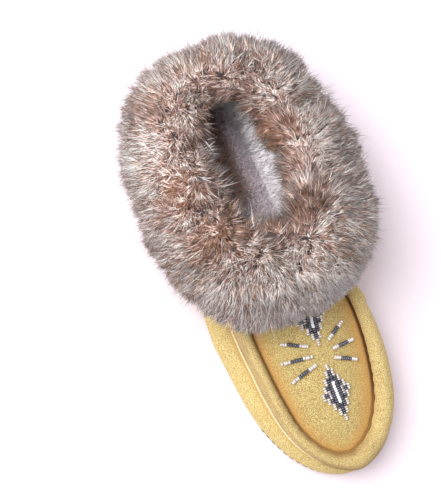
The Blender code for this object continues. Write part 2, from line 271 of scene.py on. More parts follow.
# %% Floor, room light, lamp and spot
FLOOR_SIDE, FLOOR_GAP = 8.0, 0.05 * MM      # the gap keeps the floor clear of the sole's underside
ROOM_LIGHT = 0.68
LAMP_WATTS, LAMP_SIDE = 28.0, 0.9
LAMP_OFFSET = (-0.5, 0.35, 1.45)        # right, up and back from the slipper, as the camera sees it
SPOT_WATTS, SPOT_ANGLE, SPOT_RADIUS = 50.0, math.radians(4.2), 42 * MM
SPOT_OFFSET = (-0.25, 0.1)              # right and up from the camera
SPOT_TARGET = Vector((16, 51, 34)) * MM     # on the lining, low on the big toe's side

bpy.ops.object.select_all(action="DESELECT")
bpy.ops.mesh.primitive_plane_add(size=FLOOR_SIDE, location=(0, 0, -FLOOR_GAP))
floor = bpy.context.object
floor.name = "paper_floor"
floor.data.materials.append(new_material("matt_white_paper", "#F0E5EF", 0.9))

room = bpy.data.worlds.new("bright_room")
bpy.context.scene.world = room
room.use_nodes = True
room.node_tree.nodes["Background"].inputs["Color"].default_value = linear("#FFFDFE")
room.node_tree.nodes["Background"].inputs["Strength"].default_value = ROOM_LIGHT


def add_light(name, kind, watts, place, target, **settings):
    """A light of this kind at a place, turned toward its target."""
    data = bpy.data.lights.new(name, kind)
    data.energy = watts
    for setting, value in settings.items():
        setattr(data, setting, value)
    light = new_object(name, data)
    light.location = place
    light.rotation_euler = (light.location - target).to_track_quat("Z", "Y").to_euler()
    print(name, "at", [round(x, 2) for x in light.location])


lamp_right, lamp_up, lamp_back = LAMP_OFFSET
lamp_place = view_right * lamp_right + view_up * lamp_up + view_back * lamp_back
spot_place = camera_place + view_right * SPOT_OFFSET[0] + view_up * SPOT_OFFSET[1]
add_light("soft_lamp", "AREA", LAMP_WATTS, lamp_place, Vector(), size=LAMP_SIDE)
add_light(
    "opening_spot", "SPOT", SPOT_WATTS, spot_place, SPOT_TARGET,
    spot_size=SPOT_ANGLE, spot_blend=1.0, shadow_soft_size=SPOT_RADIUS,
)
bpy.context.scene.view_settings.view_transform = "Standard"

# %% [markdown]
# ## Suede
# Suede is the split underside of a hide, brushed into a nap of fibres about 0.1 mm thick. The eye
# sees a matt, faintly glowing surface with fine mottling where the nap lies one way or the other. The
# real grain is too fine to show at this distance, so it is drawn 0.6 mm across. Cut and sewn edges
# take the dye more deeply: they turn orange-brown. Each piece stores how near its edge a point is,
# and how much dirt is rubbed into it. On the wall both also carry painted shade: a wide band above
# the sole seam and the steep faces on the outer side and round the toe are darkened.

# %% Suede material
NAP, BRUSH, PATCH = 0.6 * MM, 2.0 * MM, 16.0 * MM
SUEDE_ROUGHNESS = 0.7       # of the patterns: how much of them is fine
BUMP_DISTANCE = 0.5 * MM


def suede(name, light, mid, deep):
    """Brushed split suede: nap mottling, brush marks, patches, a darker sewn edge, and rubbed-in dirt that
    on the wall is partly painted shade.
    """
    made = new_material(
        name, mid, 0.92, Sheen_Weight=0.25, Sheen_Roughness=0.45, Sheen_Tint=linear("#FFE9B8"),
        Specular_IOR_Level=0.15,
    )
    nap = mottling(made, NAP, 4.0, SUEDE_ROUGHNESS)
    brush = mottling(made, BRUSH, 3.0, SUEDE_ROUGHNESS)
    patch = mottling(made, PATCH, 2.0, SUEDE_ROUGHNESS)
    edge = add_node(made, "ShaderNodeAttribute", {"attribute_name": "edge"}).outputs["Fac"]
    grime_and_shade = add_node(made, "ShaderNodeAttribute", {"attribute_name": "grime_and_shade"}).outputs["Fac"]
    colour = laid_over(made, nap, (0.42, 0.6), deep, light)
    colour = laid_over(made, brush, (0.35, 0.65), colour, light, most=0.2)
    colour = laid_over(made, patch, (0.35, 0.7), colour, mid, most=0.35)
    colour = laid_over(made, edge, (0.05, 0.6), colour, "#C58A43", most=0.62)
    colour = laid_over(made, edge, (0.62, 1.0), colour, "#4A2810", most=0.95)
    # rubbed-in dirt, and on the wall's steep faces painted shade
    colour = laid_over(made, grime_and_shade, (0, 1), colour, "#8A6A40")
    relief = None
    for pattern, strength in ((nap, 1.0), (brush, 0.25)):
        settings = {"Strength": strength, "Distance": BUMP_DISTANCE}
        links = {"Height": pattern, "Normal": relief} if relief else {"Height": pattern}
        relief = add_node(made, "ShaderNodeBump", settings, links).outputs[0]
    finish_with(made, Base_Color=colour, Normal=relief)
    return made


wall_suede = suede("golden_split_suede_wall", "#EBD89C", "#D0B579", "#96753C")
sole_suede = suede("golden_split_suede_sole", "#EFDE9E", "#D7BF7E", "#A58247")
apron_suede = suede("golden_split_suede_apron", "#E6D293", "#CAB271", "#886931")
print("suedes:", wall_suede.name, sole_suede.name, apron_suede.name)

# %% [markdown]
# ## Fleece
# The lining is a knitted fleece with a sheared pile, off-white with a pinkish cast. Round the heel
# it is brown, partly trodden in and partly painted shade of the fur over it. Its pile is drawn partly
# as bump, in curls about 1.6 mm across, and partly as real tufts further on.

# %% Fleece material
CURL = 1.6 * MM
CURL_DEPTH = 1.2 * MM

fleece = new_material("sheared_white_fleece", "#EDE7EA", 1.0, Sheen_Weight=0.5)
curls = mottling(fleece, CURL, 3.0, 0.7)
curl_colour = laid_over(fleece, curls, (0.3, 0.7), "#E8DADF", "#FDF4F8")
# the fleece turns brown round the heel: trodden-in dirt and painted shade of the fur over it
trodden_and_shaded = add_node(fleece, "ShaderNodeAttribute", {"attribute_name": "grime_and_shade"}).outputs["Fac"]
curl_colour = laid_over(fleece, trodden_and_shaded, (0, 1), curl_colour, "#8A6252")
curl_bump = add_node(fleece, "ShaderNodeBump", {"Strength": 0.8, "Distance": CURL_DEPTH}, {"Height": curls})
finish_with(fleece, Base_Color=curl_colour, Normal=curl_bump.outputs[0])
print("fleece:", fleece.name)

# %% [markdown]
# ## Edges to sew along
# Seams, piping, stitches and dyed edges all follow the wall's rims. A rim is a sharp corner of the
# solid, so its edges are those where two faces meet at more than 40 degrees, and linked edges make a
# loop. The wall has four loops: an outer and an inner one below, where the sole is sewn on, and two
# above, round the foot opening and the apron.


# %% Find the rims of a solid
SHARP = math.radians(40)
RIM_STEPS = 720


def is_sharp(edge):
    """Whether an edge is a corner of the solid."""
    return edge.is_manifold and edge.calc_face_angle() > SHARP


def rim_loops(piece):
    """The closed lines of sharp edges on a solid, as rows of points, the longest first."""
    shape = bmesh.new()
    shape.from_mesh(piece.data)
    sharp = dict.fromkeys(filter(is_sharp, shape.edges))
    loops = []
    while sharp:
        edge = next(iter(sharp))
        del sharp[edge]
        first, here = edge.verts
        line = [first.co.copy(), here.co.copy()]
        onward = True
        while onward:
            onward = next((e for e in here.link_edges if e in sharp), None)
            if onward:
                del sharp[onward]
                here = onward.other_vert(here)
                line.append(here.co.copy())
        loops.append(np.array(line))
    shape.free()
    return sorted(loops, key=len, reverse=True)


def lengths_along(line):
    """How far along a line each of its points lies."""
    return np.r_[0, np.cumsum(np.linalg.norm(np.diff(line, axis=0), axis=1))]


def places_at(line, cuts):
    """The places that lie these lengths along a line."""
    along = lengths_along(line)
    return np.stack([np.interp(cuts, along, axis) for axis in line.T], axis=1)


def tidy_loop(loop, count):
    """A closed line cut into this many equal steps."""
    return places_at(loop, np.linspace(0, lengths_along(loop)[-1], count, endpoint=False))


def perimeter(loop):
    """The length of a closed line."""
    return float(np.linalg.norm(loop - np.roll(loop, 1, axis=0), axis=1).sum())


wall = copy_of("upper", "suede_wall")
wall_rims = [tidy_loop(loop, RIM_STEPS) for loop in rim_loops(wall)[:4]]
for loop in wall_rims:
    print("rim", round(perimeter(loop) / MM), "mm round, at height", round(loop[:, Z].mean() / MM, 1))
seam_line, inner_seam, inner_lip, outer_lip = sorted(wall_rims, key=lambda loop: loop[:, Z].mean())

# %% [markdown]
# ## Soft folds
# Suede that has been worn a little keeps a few soft creases: across the flex of the forefoot, down
# the heel and round the toe, where the roll's fullness is gathered in. Each one is given as a line
# from one place to another with a width and a depth. A point near the line sinks along its own
# normal, or rises where the depth is negative. Cloth simulation would put them somewhere else on
# each new try, so the slipper's own creases are made by moves like these.

# %% Fold helpers
Fold = namedtuple("Fold", "start end width depth")      # millimetres in the slipper's own frame


def unit(rows):
    """Rows of x, y and z at length 1."""
    return rows / np.maximum(np.linalg.norm(rows, axis=-1, keepdims=True), 1e-12)


def from_line(points, start, end):
    """The way to each point from the nearest place of the straight line between two places."""
    start, end = np.array(start, float), np.array(end, float)
    run = end - start
    share = np.clip((points - start) @ run / (run @ run), 0, 1)
    return points - start - share[:, None] * run


def fade(distance, reach):
    """1 where the distance is 0, falling softly to almost nothing at twice the reach."""
    return np.exp(-((distance / reach) ** 2))


def sunk_by(points, folds):
    """How deep these folds push each point in, in metres."""
    depth = np.zeros(len(points))
    for fold in folds:
        away = np.linalg.norm(from_line(points / MM, fold.start, fold.end), axis=1)
        depth += fold.depth * MM * fade(away, fold.width)
    return depth


def press(piece, folds, free=1.0):
    """Presses folds into a piece. Where free is 0 the piece is held."""
    push_in(piece, sunk_by(points_of(piece), folds) * free)


def distance_to(points, line):
    """How far each point lies from a densely cut line."""
    tree = tree_of(line)
    return np.array([tree.find(point)[2] for point in points])


def sew_in(piece, line, reach, depth):
    """Draws a piece in beside a seam, most at this reach from it, and returns how near the seam is."""
    groove = fade(distance_to(points_of(piece), line) - reach, 0.7 * reach)
    push_in(piece, groove * depth)
    return groove


def smooth_step(low, high, value):
    """0 below the low value, 1 above the high one and an easy rise between."""
    t = np.clip((value - low) / (high - low), 0, 1)
    return t * t * (3 - 2 * t)


def rise(points, axis, low, high):
    """From 0 to 1 as points pass from a low to a high place on this axis, both in millimetres."""
    return smooth_step(low * MM, high * MM, points[:, axis])


def lumps(points, size, seed):
    """Soft random numbers from -1 to 1 that change over about this distance."""
    draw = np.random.default_rng(seed)
    waves = draw.normal(size=(9, 3)) * 2 * np.pi / (2.6 * size)
    phases = draw.uniform(0, 2 * np.pi, 9)
    return np.sin(points @ waves.T + phases).mean(axis=1) * 1.9


def heel_trodden_and_shaded(points):
    """From 0 to 1: how brown the fleece is round the heel, low down and most on the outer side: partly
    trodden in, partly painted shade.
    """
    return rise(points, X, 24, 6) * rise(points, Y, 20, 50) * rise(points, Z, 46, 30)


# %% [markdown]
# ## The suede side wall
# One band of suede is closed at the heel's middle, puffed out above the sole seam and gathered into a
# full roll round the apron. The copy of its solid is rounded with two levels of subdivision, then
# creased. Its inner skin wears the fleece that is bonded to it.


# %% Give a hollow piece its two skins
RIM_SUEDE = 3.6 * MM        # the suede is turned over the roll's lip this far


def line_with_fleece(piece, outside, last=2, highest=2.0):
    """Finishes a hollow piece: its largest smooth skin is the outside and the next ones wear the fleece.

    Those are the skins up to the last one, and only where they don't look up more than the highest."""
    for finish in (outside, fleece):
        piece.data.materials.append(finish)
    shape = bmesh.new()
    shape.from_mesh(piece.data)
    left, skins = set(shape.faces), []
    while left:
        skin = [left.pop()]
        for face in skin:
            for edge in face.edges:
                if not is_sharp(edge):
                    fresh = [f for f in edge.link_faces if f in left]
                    left.difference_update(fresh)
                    skin += fresh
        skins.append(skin)
    skins.sort(key=lambda skin: -sum(face.calc_area() for face in skin))
    for face in sum(skins[1:last], []):
        face.material_index = int(face.normal.z < highest)
    shape.to_mesh(piece.data)
    shape.free()
    return len(skins)


skins = line_with_fleece(wall, wall_suede)
print("skins of the wall:", skins)
face_middles = np.array([face.center for face in wall.data.polygons])
for number in np.flatnonzero(distance_to(face_middles, outer_lip) < RIM_SUEDE):
    wall.data.polygons[number].material_index = 0

# %% Round and crease the wall
WALL_FOLDS = (
    Fold((-46, -48, 30), (-36, -36, 50), 3.2, 0.9),      # outer side, flex of the forefoot
    Fold((-46, -30, 26), (-36, -22, 50), 4.0, 0.8),
    Fold((-46, -39, 26), (-34, -30, 50), 4.5, -0.7),
    Fold((52, -52, 26), (40, -40, 46), 3.4, 0.8),        # big toe's side, flex of the forefoot
    Fold((52, -38, 26), (40, -28, 50), 4.2, 0.8),
    Fold((52, -45, 26), (40, -33, 48), 4.8, -0.6),
    Fold((-38, 20, 24), (-33, 14, 46), 5.0, 0.9),        # under the fur, outer waist
    Fold((37, 22, 24), (34, 12, 46), 5.0, 0.9),
    Fold((-25, 113, 20), (-30, 106, 46), 5.0, 0.9),      # heel, outer corner
    Fold((24, 113, 20), (28, 106, 46), 5.0, 0.9),
    Fold((-12, 119, 22), (-13, 118, 40), 6.0, -0.7),
    Fold((11, 119, 22), (12, 118, 40), 6.0, -0.7),
    Fold((-34, 78, 22), (-36, 66, 40), 6.0, 0.8),
    Fold((34, 82, 22), (36, 70, 40), 6.0, 0.8),
)
HEEL_SEAM = (
    Fold((-1, 119, 16), (-1, 119, 62), 0.9, 0.9),
    Fold((-2.9, 119, 16), (-2.9, 119, 62), 1.2, -0.45),
    Fold((0.9, 119, 16), (0.9, 119, 62), 1.2, -0.45),
)
GATHERS = 34            # small puckers round the toe, where the roll's fullness is taken in
GATHER_DEPTH, GATHER_REACH = 0.28 * MM, 5.0 * MM
UNEVEN_DEPTH = 0.22 * MM
TOE_MIDDLE = -70 * MM   # the gathers fan out from here
TOE_TUCK = 1.8 * MM     # the outer toe is drawn in over the sole seam, most this far from it
TUCK_AT, TUCK_REACH = 6 * MM, 5 * MM
HEEL_MIDDLE = np.array((0, 60)) * MM
# the wide band above the sole seam is darkened partly by dye and partly as painted shade
EDGE_REACH, SEAM_DYE_AND_SHADE_REACH = 2.2 * MM, 9 * MM
INNER_LIP_DYE, OUTER_LIP_DYE, SEAM_DYE, WIDE_SEAM_DYE_AND_SHADE = 0.7, 0.3, 0.34, 0.2     # how dark rims are
SEWN_REACH, SEWN_DEPTH = 1.7 * MM, 0.5 * MM     # the groove beside the sole seam
# the first two are painted shade on steep faces; the last is dirt rubbed in at the toe
SIDE_SHADE, TOE_SHADE, RUBBED_GRIME = 0.36, 0.26, 0.17

subdivide(wall, 2)
press(wall, WALL_FOLDS + HEEL_SEAM)
wall_points = points_of(wall)
from_lip = distance_to(wall_points, outer_lip)
round_toe = np.arctan2(wall_points[:, X], TOE_MIDDLE - wall_points[:, Y])
pucker = np.cos(round_toe * GATHERS + 2.2 * lumps(wall_points, 30 * MM, 5))
pucker *= fade(from_lip, GATHER_REACH) * rise(wall_points, Y, -30, -100) * GATHER_DEPTH
push_in(wall, pucker + UNEVEN_DEPTH * lumps(wall_points, 14 * MM, 6))

wall_points = points_of(wall)
deep_edge = INNER_LIP_DYE * fade(distance_to(wall_points, inner_lip), EDGE_REACH)
soft_edge = OUTER_LIP_DYE * fade(from_lip, EDGE_REACH)
from_seam = distance_to(wall_points, seam_line)
outer_toe = rise(wall_points, X, 20, -10) * rise(wall_points, Y, -60, -105)
push_in(wall, TOE_TUCK * outer_toe * fade(from_seam - TUCK_AT, TUCK_REACH))

wall_points = points_of(wall)
# a wide band above the sole seam: part dye, part painted shade of its steep face
seam_dye_and_shade = WIDE_SEAM_DYE_AND_SHADE * fade(from_seam, SEAM_DYE_AND_SHADE_REACH)
seam_edge = SEAM_DYE * sew_in(wall, seam_line, SEWN_REACH, SEWN_DEPTH)
paint(wall, "edge", np.max((deep_edge, soft_edge, seam_dye_and_shade, seam_edge), axis=0))
# Painted shade: steep faces on the outer side and round the toe are darkened as if the light from above
# missed them. The rubbed toe below is dirt, and the lining round the heel is trodden brown.
steep = smooth_step(0.93, 0.4, normals_of(wall)[:, Z])
shaded_toe = rise(wall_points, Y, -110, -128)
shaded_region = np.maximum(rise(wall_points, X, 15, -12) * rise(wall_points, Y, 60, -20), shaded_toe)
uneven = 0.12 * lumps(wall_points, 12 * MM, 7)
grime_and_shade = steep * shaded_region * (SIDE_SHADE + uneven + TOE_SHADE * shaded_toe)
rubbed_toe = rise(wall_points, Y, -98, -122) * rise(wall_points, X, 26, 8)
grime_and_shade += rubbed_toe * (RUBBED_GRIME + 0.1 * lumps(wall_points, 9 * MM, 12))
# lining faces round the heel are trodden brown and given painted shade of the fur
outward = wall_points[:, :2] - HEEL_MIDDLE
faces_in = (normals_of(wall)[:, :2] * outward).sum(axis=1) < 0
paint(wall, "grime_and_shade", np.maximum(grime_and_shade, 0.8 * faces_in * heel_trodden_and_shaded(wall_points)))
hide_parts("upper")
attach(wall, "root")
print("suede wall:", triangles(wall), "triangles")

# %% [markdown]
# ## The padded sole
# The sole is suede wrapped round foam, so its side bulges softly between the seam and the floor. The
# foam keeps it from creasing sharply: it only has shallow waves, and its suede is rubbed a little
# dark where it meets the floor.

# %% Sole
SOLE_FOLDS = (
    Fold((-47, -66, 12), (-44, -40, 6), 5.0, 0.7),
    Fold((-46, -20, 10), (-38, 6, 9), 6.0, 0.6),
    Fold((-36, 40, 8), (-34, 60, 10), 6.0, 0.6),
    Fold((-26, -116, 10), (-12, -130, 9), 4.0, 0.7),
    Fold((-39, -96, 12), (-33, -106, 8), 3.5, 0.6),
    Fold((48, -92, 10), (52, -70, 8), 6.0, 0.7),
    Fold((50, -30, 9), (44, -6, 10), 6.0, 0.7),
    Fold((34, 44, 9), (33, 70, 8), 6.0, 0.6),
)
ALL_SKINS = 9           # the cup and its rims all wear the fleece

sole = copy_of("sole", "padded_sole")
skins = line_with_fleece(sole, sole_suede, ALL_SKINS)
print("skins of the sole:", skins)
subdivide(sole, 2)
press(sole, SOLE_FOLDS, rise(points_of(sole), Z, 1.5, 6))
sole_points = points_of(sole)
paint(sole, "edge", 0.4 * sew_in(sole, seam_line, 1.8 * MM, 0.6 * MM))
rubbed = rise(sole_points, Z, 4.5, 0.5) * (0.32 + 0.2 * lumps(sole_points, 18 * MM, 8))
paint(sole, "grime_and_shade", np.clip(rubbed, 0, 1))
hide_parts("sole")
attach(sole, "root")
print("padded sole:", triangles(sole), "triangles")

# %% [markdown]
# ## The insole
# A loose pad of foam under fleece lies in the sole's cup. A stuffed thing is best puffed up by
# simulation: the pad starts 0.9 mm too small, is remeshed evenly, and a cloth with a little
# pressure inside swells it. No point may go further than the room that is left in the cup.

# %% Insole
INSOLE_VOXEL = 4 * MM
INSOLE_SHRINK = 0.9 * MM
INSOLE_ROOM = 1.0 * MM
PUFF_PRESSURE = 4.0
PUFF_FRAMES = 20

insole = copy_of("insole", "fleece_insole")
insole.data.materials.append(fleece)
push_in(insole, INSOLE_SHRINK)
apply_modifier(insole, "REMESH", mode="VOXEL", voxel_size=INSOLE_VOXEL)
flat_points = points_of(insole)
select_only(insole)
cloth = insole.modifiers.new("Cloth", "CLOTH")
cloth.settings.use_pressure = True
cloth.settings.uniform_pressure_force = PUFF_PRESSURE
cloth.settings.effector_weights.gravity = 0
for step in range(1, PUFF_FRAMES + 1):
    bpy.context.scene.frame_set(step)
bpy.ops.object.modifier_apply(modifier=cloth.name)
bpy.context.scene.frame_set(1)
moves = points_of(insole) - flat_points
reach = np.linalg.norm(moves, axis=1, keepdims=True)
move_points(insole, flat_points + moves * np.minimum(1, INSOLE_ROOM / np.maximum(reach, 1e-9)))
print("the cloth moved by up to", round(reach.max() / MM, 1), "mm")
subdivide(insole, 1)

# trodden brown round the heel, partly painted shade of the fur over it
paint(insole, "grime_and_shade", 0.92 * heel_trodden_and_shaded(points_of(insole)))
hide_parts("insole")
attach(insole, "root")
print("insole:", triangles(insole), "triangles")

# %% [markdown]
# ## The apron
# The apron is the flat-sewn plug inside the roll. Its sewn edge is pulled down into the groove, where
# the dye is darkest, and it rises in a soft crown over the toes.

# %% Apron
APRON_FOLDS = (
    Fold((-14, -64, 42), (-19, -78, 38), 5.0, 0.35),
    Fold((16, -92, 38), (22, -78, 40), 5.0, 0.35),
    Fold((-8, -112, 33), (12, -114, 33), 5.0, 0.45),
    Fold((-20, -44, 44), (-8, -40, 52), 5.0, 0.4),
)
PULL_SHARE, PULL_REACH = 0.5, 4.0 * MM      # its edge is pulled toward the roll
DYE_REACH, DYE_SPREAD = 7 * MM, 4 * MM      # the dye spreads this much further on the big toe's side
DARK_DYE_REACH = 3 * MM
UNDERSIDE = -0.35       # the apron's inside faces look down at least this much

apron = copy_of("vamp", "beaded_apron")
skins = line_with_fleece(apron, apron_suede, highest=UNDERSIDE)
print("skins of the apron:", skins)
subdivide(apron, 2)
press(apron, APRON_FOLDS)
apron_points = points_of(apron)
from_wall = distance_to(apron_points, outer_lip)
wall_surface = surface_of(wall)
for number in np.flatnonzero(from_wall < 3 * PULL_REACH):
    beside = np.array(wall_surface.find_nearest(Vector(apron_points[number]))[0])
    share = PULL_SHARE * fade(from_wall[number], PULL_REACH)
    apron_points[number] += (beside - apron_points[number]) * share
move_points(apron, apron_points)
dye_reach = DYE_REACH + DYE_SPREAD * rise(apron_points, X, 0, 20)
paint(apron, "edge", 0.6 * fade(from_wall, dye_reach) + 0.35 * fade(from_wall, DARK_DYE_REACH))
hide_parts("vamp")
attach(apron, "root")
print("apron:", triangles(apron), "triangles")

# %% [markdown]
# ## The turned sole seam
# Wall and sole are sewn inside out and turned, so the two cut edges stand up as a fine pale ridge.
# A line along the wall's lower rim, from one heel corner round the toe to the other, is made a curve.
# A bevel gives it a round section, and it is turned back into a mesh. It waves slightly, as the
# stitches pull at it.

# %% Sole seam
SEAM_NAP = 1.1 * MM
SEAM_RADIUS = 0.7 * MM
SEAM_OUT, SEAM_OUT_AT_TOE = 0.6 * MM, 0.7 * MM     # how far it stands out, and how much further at the toe
SEAM_LOWERED = 0.1 * MM
SEAM_WAVE = 0.18 * MM
HEEL_CORNER = 103 * MM      # behind this the wall's suede comes down to the floor


def cord_along(name, line, radius, finish, closed=True):
    """A round ridge along a line: edges made a curve, given a section and made a mesh again."""
    mesh = bpy.data.meshes.new(name)
    count = len(line)
    edges = [(i, (i + 1) % count) for i in range(count if closed else count - 1)]
    mesh.from_pydata([tuple(p) for p in line], edges, [])
    piece = new_object(name, mesh)
    select_only(piece)
    bpy.ops.object.convert(target="CURVE")
    piece.data.bevel_depth = radius
    piece.data.bevel_resolution = 1
    piece.data.use_fill_caps = True
    bpy.ops.object.convert(target="MESH")
    in_edit_mode(piece, WELD)
    piece.data.materials.clear()
    piece.data.materials.append(finish)
    bpy.ops.object.shade_smooth()
    return piece


seam_suede = new_material("turned_suede_edge", "#EFD9A0", 0.9, Sheen_Weight=0.2)
seam_nap = mottling(seam_suede, SEAM_NAP)
seam_colour = laid_over(seam_suede, seam_nap, (0.35, 0.65), "#E2C88C", "#F8EABF")
finish_with(seam_suede, Base_Color=seam_colour)

ridge = tidy_loop(seam_line, RIM_STEPS // 2)
along_ridge = np.roll(ridge, -1, axis=0) - np.roll(ridge, 1, axis=0)
plan_out = unit(np.column_stack([along_ridge[:, Y], -along_ridge[:, X], np.zeros(len(ridge))]))
if (plan_out * (ridge - ridge.mean(axis=0))).sum() < 0:
    plan_out = -plan_out
ridge = ridge + plan_out * (SEAM_OUT + SEAM_OUT_AT_TOE * rise(ridge, Y, -70, -115))[:, None]
ridge[:, Z] += SEAM_WAVE * lumps(ridge, 7 * MM, 11) - SEAM_LOWERED
at_heel = ridge[:, Y] > HEEL_CORNER
first = int(np.flatnonzero(at_heel & ~np.roll(at_heel, 1))[0])
ridge, plan_out, at_heel = (np.roll(rows, -first, axis=0) for rows in (ridge, plan_out, at_heel))
seam = cord_along("sole_seam", ridge[~at_heel], SEAM_RADIUS, seam_suede, closed=False)
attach(seam, "root")
print("sole seam:", triangles(seam), "triangles")

# %% The lining's own seam, inside
LINING_SEAM_RADIUS = 1.9 * MM
lining_seam = cord_along("lining_seam", inner_seam[::4], LINING_SEAM_RADIUS, fleece)
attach(lining_seam, "root")
print("lining seam:", triangles(lining_seam), "triangles")

# %% [markdown]
# ## The heel panel
# At the heel the sole's side stops at two corners and the wall's suede is drawn down over it to the
# floor. That flap is under a millimetre thick. Rays from outside measure how far the wall and the sole
# stand out behind the corners, a grid is laid over them, and Solidify gives it its thickness. A dark
# seam runs down each corner.

# %% Heel panel
PANEL_LOW, PANEL_HIGH, PANEL_ROWS = 1.6 * MM, 31.0 * MM, 21
PANEL_TAPERS = 24 * MM      # from this height up it thins out on to the wall
PANEL_PROUD = 0.9 * MM
PANEL_TOP_DEPTH = 0.4 * MM
PANEL_END_DEPTH = 0.8 * MM
PANEL_EVENED = 10           # rounds of evening out, which bridge the groove of the seam
RAY_START = 60 * MM


def skin_from_outside(shape, place, out, height):
    """Where a level ray toward this place first meets a shape, and how far from the ray's start."""
    start = Vector((*(place[:2] + out[:2] * RAY_START), height))
    hit, _, _, far = shape.ray_cast(start, Vector(-out))
    return hit, far


sole_surface, wall_surface = surface_of(sole), surface_of(wall)
heel_line, heel_out = ridge[at_heel], plan_out[at_heel]
levels = np.linspace(PANEL_LOW, PANEL_HIGH, PANEL_ROWS)
to_skin = np.zeros((PANEL_ROWS, len(heel_line)))
for row in reversed(range(PANEL_ROWS)):
    for column, (place, out) in enumerate(zip(heel_line, heel_out)):
        hits = [
            skin_from_outside(surface, place, out, levels[row])[1]
            for surface in (sole_surface, wall_surface)
        ]
        hits = [far for far in hits if far]
        to_skin[row, column] = min(hits) if hits else to_skin[row + 1, column]
evened = to_skin
for _ in range(PANEL_EVENED):
    padded_rows = np.pad(evened, ((1, 1), (0, 0)), mode="edge")
    evened = np.minimum(evened, (padded_rows[:-2] + padded_rows[2:]) / 2)
taper = smooth_step(PANEL_TAPERS, PANEL_HIGH, levels)[:, None]
across = np.arange(len(heel_line))
at_end = np.minimum(across, across[::-1])[None, :] < 1
far = evened - PANEL_PROUD * (1 - taper) + PANEL_TOP_DEPTH * taper + PANEL_END_DEPTH * at_end
bpy.ops.object.select_all(action="DESELECT")
bpy.ops.mesh.primitive_grid_add(x_subdivisions=len(heel_line) - 1, y_subdivisions=PANEL_ROWS - 1)
heel_panel = bpy.context.object
heel_panel.name = "heel_panel"
plan = heel_line[None, :, :2] + heel_out[None, :, :2] * (RAY_START - far)[:, :, None]
heights = np.broadcast_to(levels[:, None, None], (*plan.shape[:2], 1))
move_points(heel_panel, np.concatenate([plan, heights], axis=2).reshape(-1, 3))
apply_modifier(heel_panel, "SOLIDIFY", thickness=PANEL_PROUD, offset=-1.0)
in_edit_mode(heel_panel, (bpy.ops.mesh.normals_make_consistent, {"inside": False}))
subdivide(heel_panel, 1)
heel_panel.data.materials.append(wall_suede)
press(heel_panel, HEEL_SEAM)
panel_points = points_of(heel_panel)
near_corner = fade(panel_points[:, Y] - HEEL_CORNER, 2.5 * MM)
paint(heel_panel, "edge", 0.5 * near_corner * rise(panel_points, Z, 24, 16))
rubbed = rise(panel_points, Z, 7, 1) * (0.3 + 0.2 * lumps(panel_points, 15 * MM, 9))
paint(heel_panel, "grime_and_shade", np.clip(rubbed, 0, 1))
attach(heel_panel, "root")
print("heel panel:", triangles(heel_panel), "triangles")

# %% Corner seams
CORNER_SEAM_RADIUS = 0.75 * MM
CORNER_SEAM_TOP = 17.5 * MM
DEEPLY_DYED = 0.95

rows = levels < CORNER_SEAM_TOP
for name, column in (("corner_seam_inner", 0), ("corner_seam_outer", -1)):
    reach = RAY_START - to_skin[rows, column]
    line = heel_line[column, :2] + heel_out[column, :2] * reach[:, None]
    line = np.column_stack([line, levels[rows]])
    corner = cord_along(name, line, CORNER_SEAM_RADIUS, apron_suede, closed=False)
    paint(corner, "edge", np.full(len(corner.data.vertices), DEEPLY_DYED))
    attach(corner, "root")
    print(name, triangles(corner), "triangles")

# %% [markdown]
# ## The apron's seam
# The wall is gathered on to the apron with a turned seam that lies sunk between the roll and the
# apron. Only its darkly dyed top is seen, as the bottom of the groove, so one more cord follows the
# roll's lip, a little way down its rim.

# %% Apron seam
APRON_SEAM_RADIUS = 1.9 * MM
APRON_SEAM_DEPTH = 2.0 * MM     # below the roll's lip
APRON_SEAM_END = 12 * MM        # it ends under the collar
APRON_SEAM_EVENED = 12

lip_tree = tree_of(inner_lip)
down_rim = unit(np.array([lip_tree.find(place)[0] for place in outer_lip]) - outer_lip)
sunk_line = outer_lip + down_rim * APRON_SEAM_DEPTH
near_wall, near_apron = (
    np.array([bank.find_nearest(Vector(place))[0] for place in sunk_line])
    for bank in (surface_of(wall), surface_of(apron))
)
widths = np.linalg.norm(near_apron - near_wall, axis=1) / MM
print("groove's width:", np.round(np.percentile(widths, (5, 50)), 1), "mm")
sunk_line = (near_wall + near_apron) / 2
for _ in range(APRON_SEAM_EVENED):
    sunk_line = (np.roll(sunk_line, 1, axis=0) + np.roll(sunk_line, -1, axis=0)) / 2
beside_apron = sunk_line[:, Y] < APRON_SEAM_END
first = int(np.flatnonzero(beside_apron & ~np.roll(beside_apron, 1))[0])
sunk_line = np.roll(sunk_line, -first, axis=0)[: beside_apron.sum()]
groove = cord_along("apron_seam", sunk_line[::3], APRON_SEAM_RADIUS, apron_suede, closed=False)
groove_points = points_of(groove)
dye = 0.92 + 0.08 * rise(groove_points, X, -5, 25) - 0.1 * rise(groove_points, Y, -84, -108)
paint(groove, "edge", dye)
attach(groove, "root")
print("apron seam:", triangles(groove), "triangles")

# %% [markdown]
# ## Many small things at once
# Beads, stitches, pile and hair repeat by the thousand. Each kind is modelled once as a primitive of a
# few faces, and its copies are written into one joined mesh with numpy, which is how an array of
# realised instances ends up as well.


# %% Helpers for repeated pieces
def template_of(adding, **settings):
    """The points and faces of a primitive, which is then removed."""
    bpy.ops.object.select_all(action="DESELECT")
    adding(**settings)
    made = bpy.context.object
    points = points_of(made)
    faces = [list(face.vertices) for face in made.data.polygons]
    bpy.data.objects.remove(made)
    return points, faces


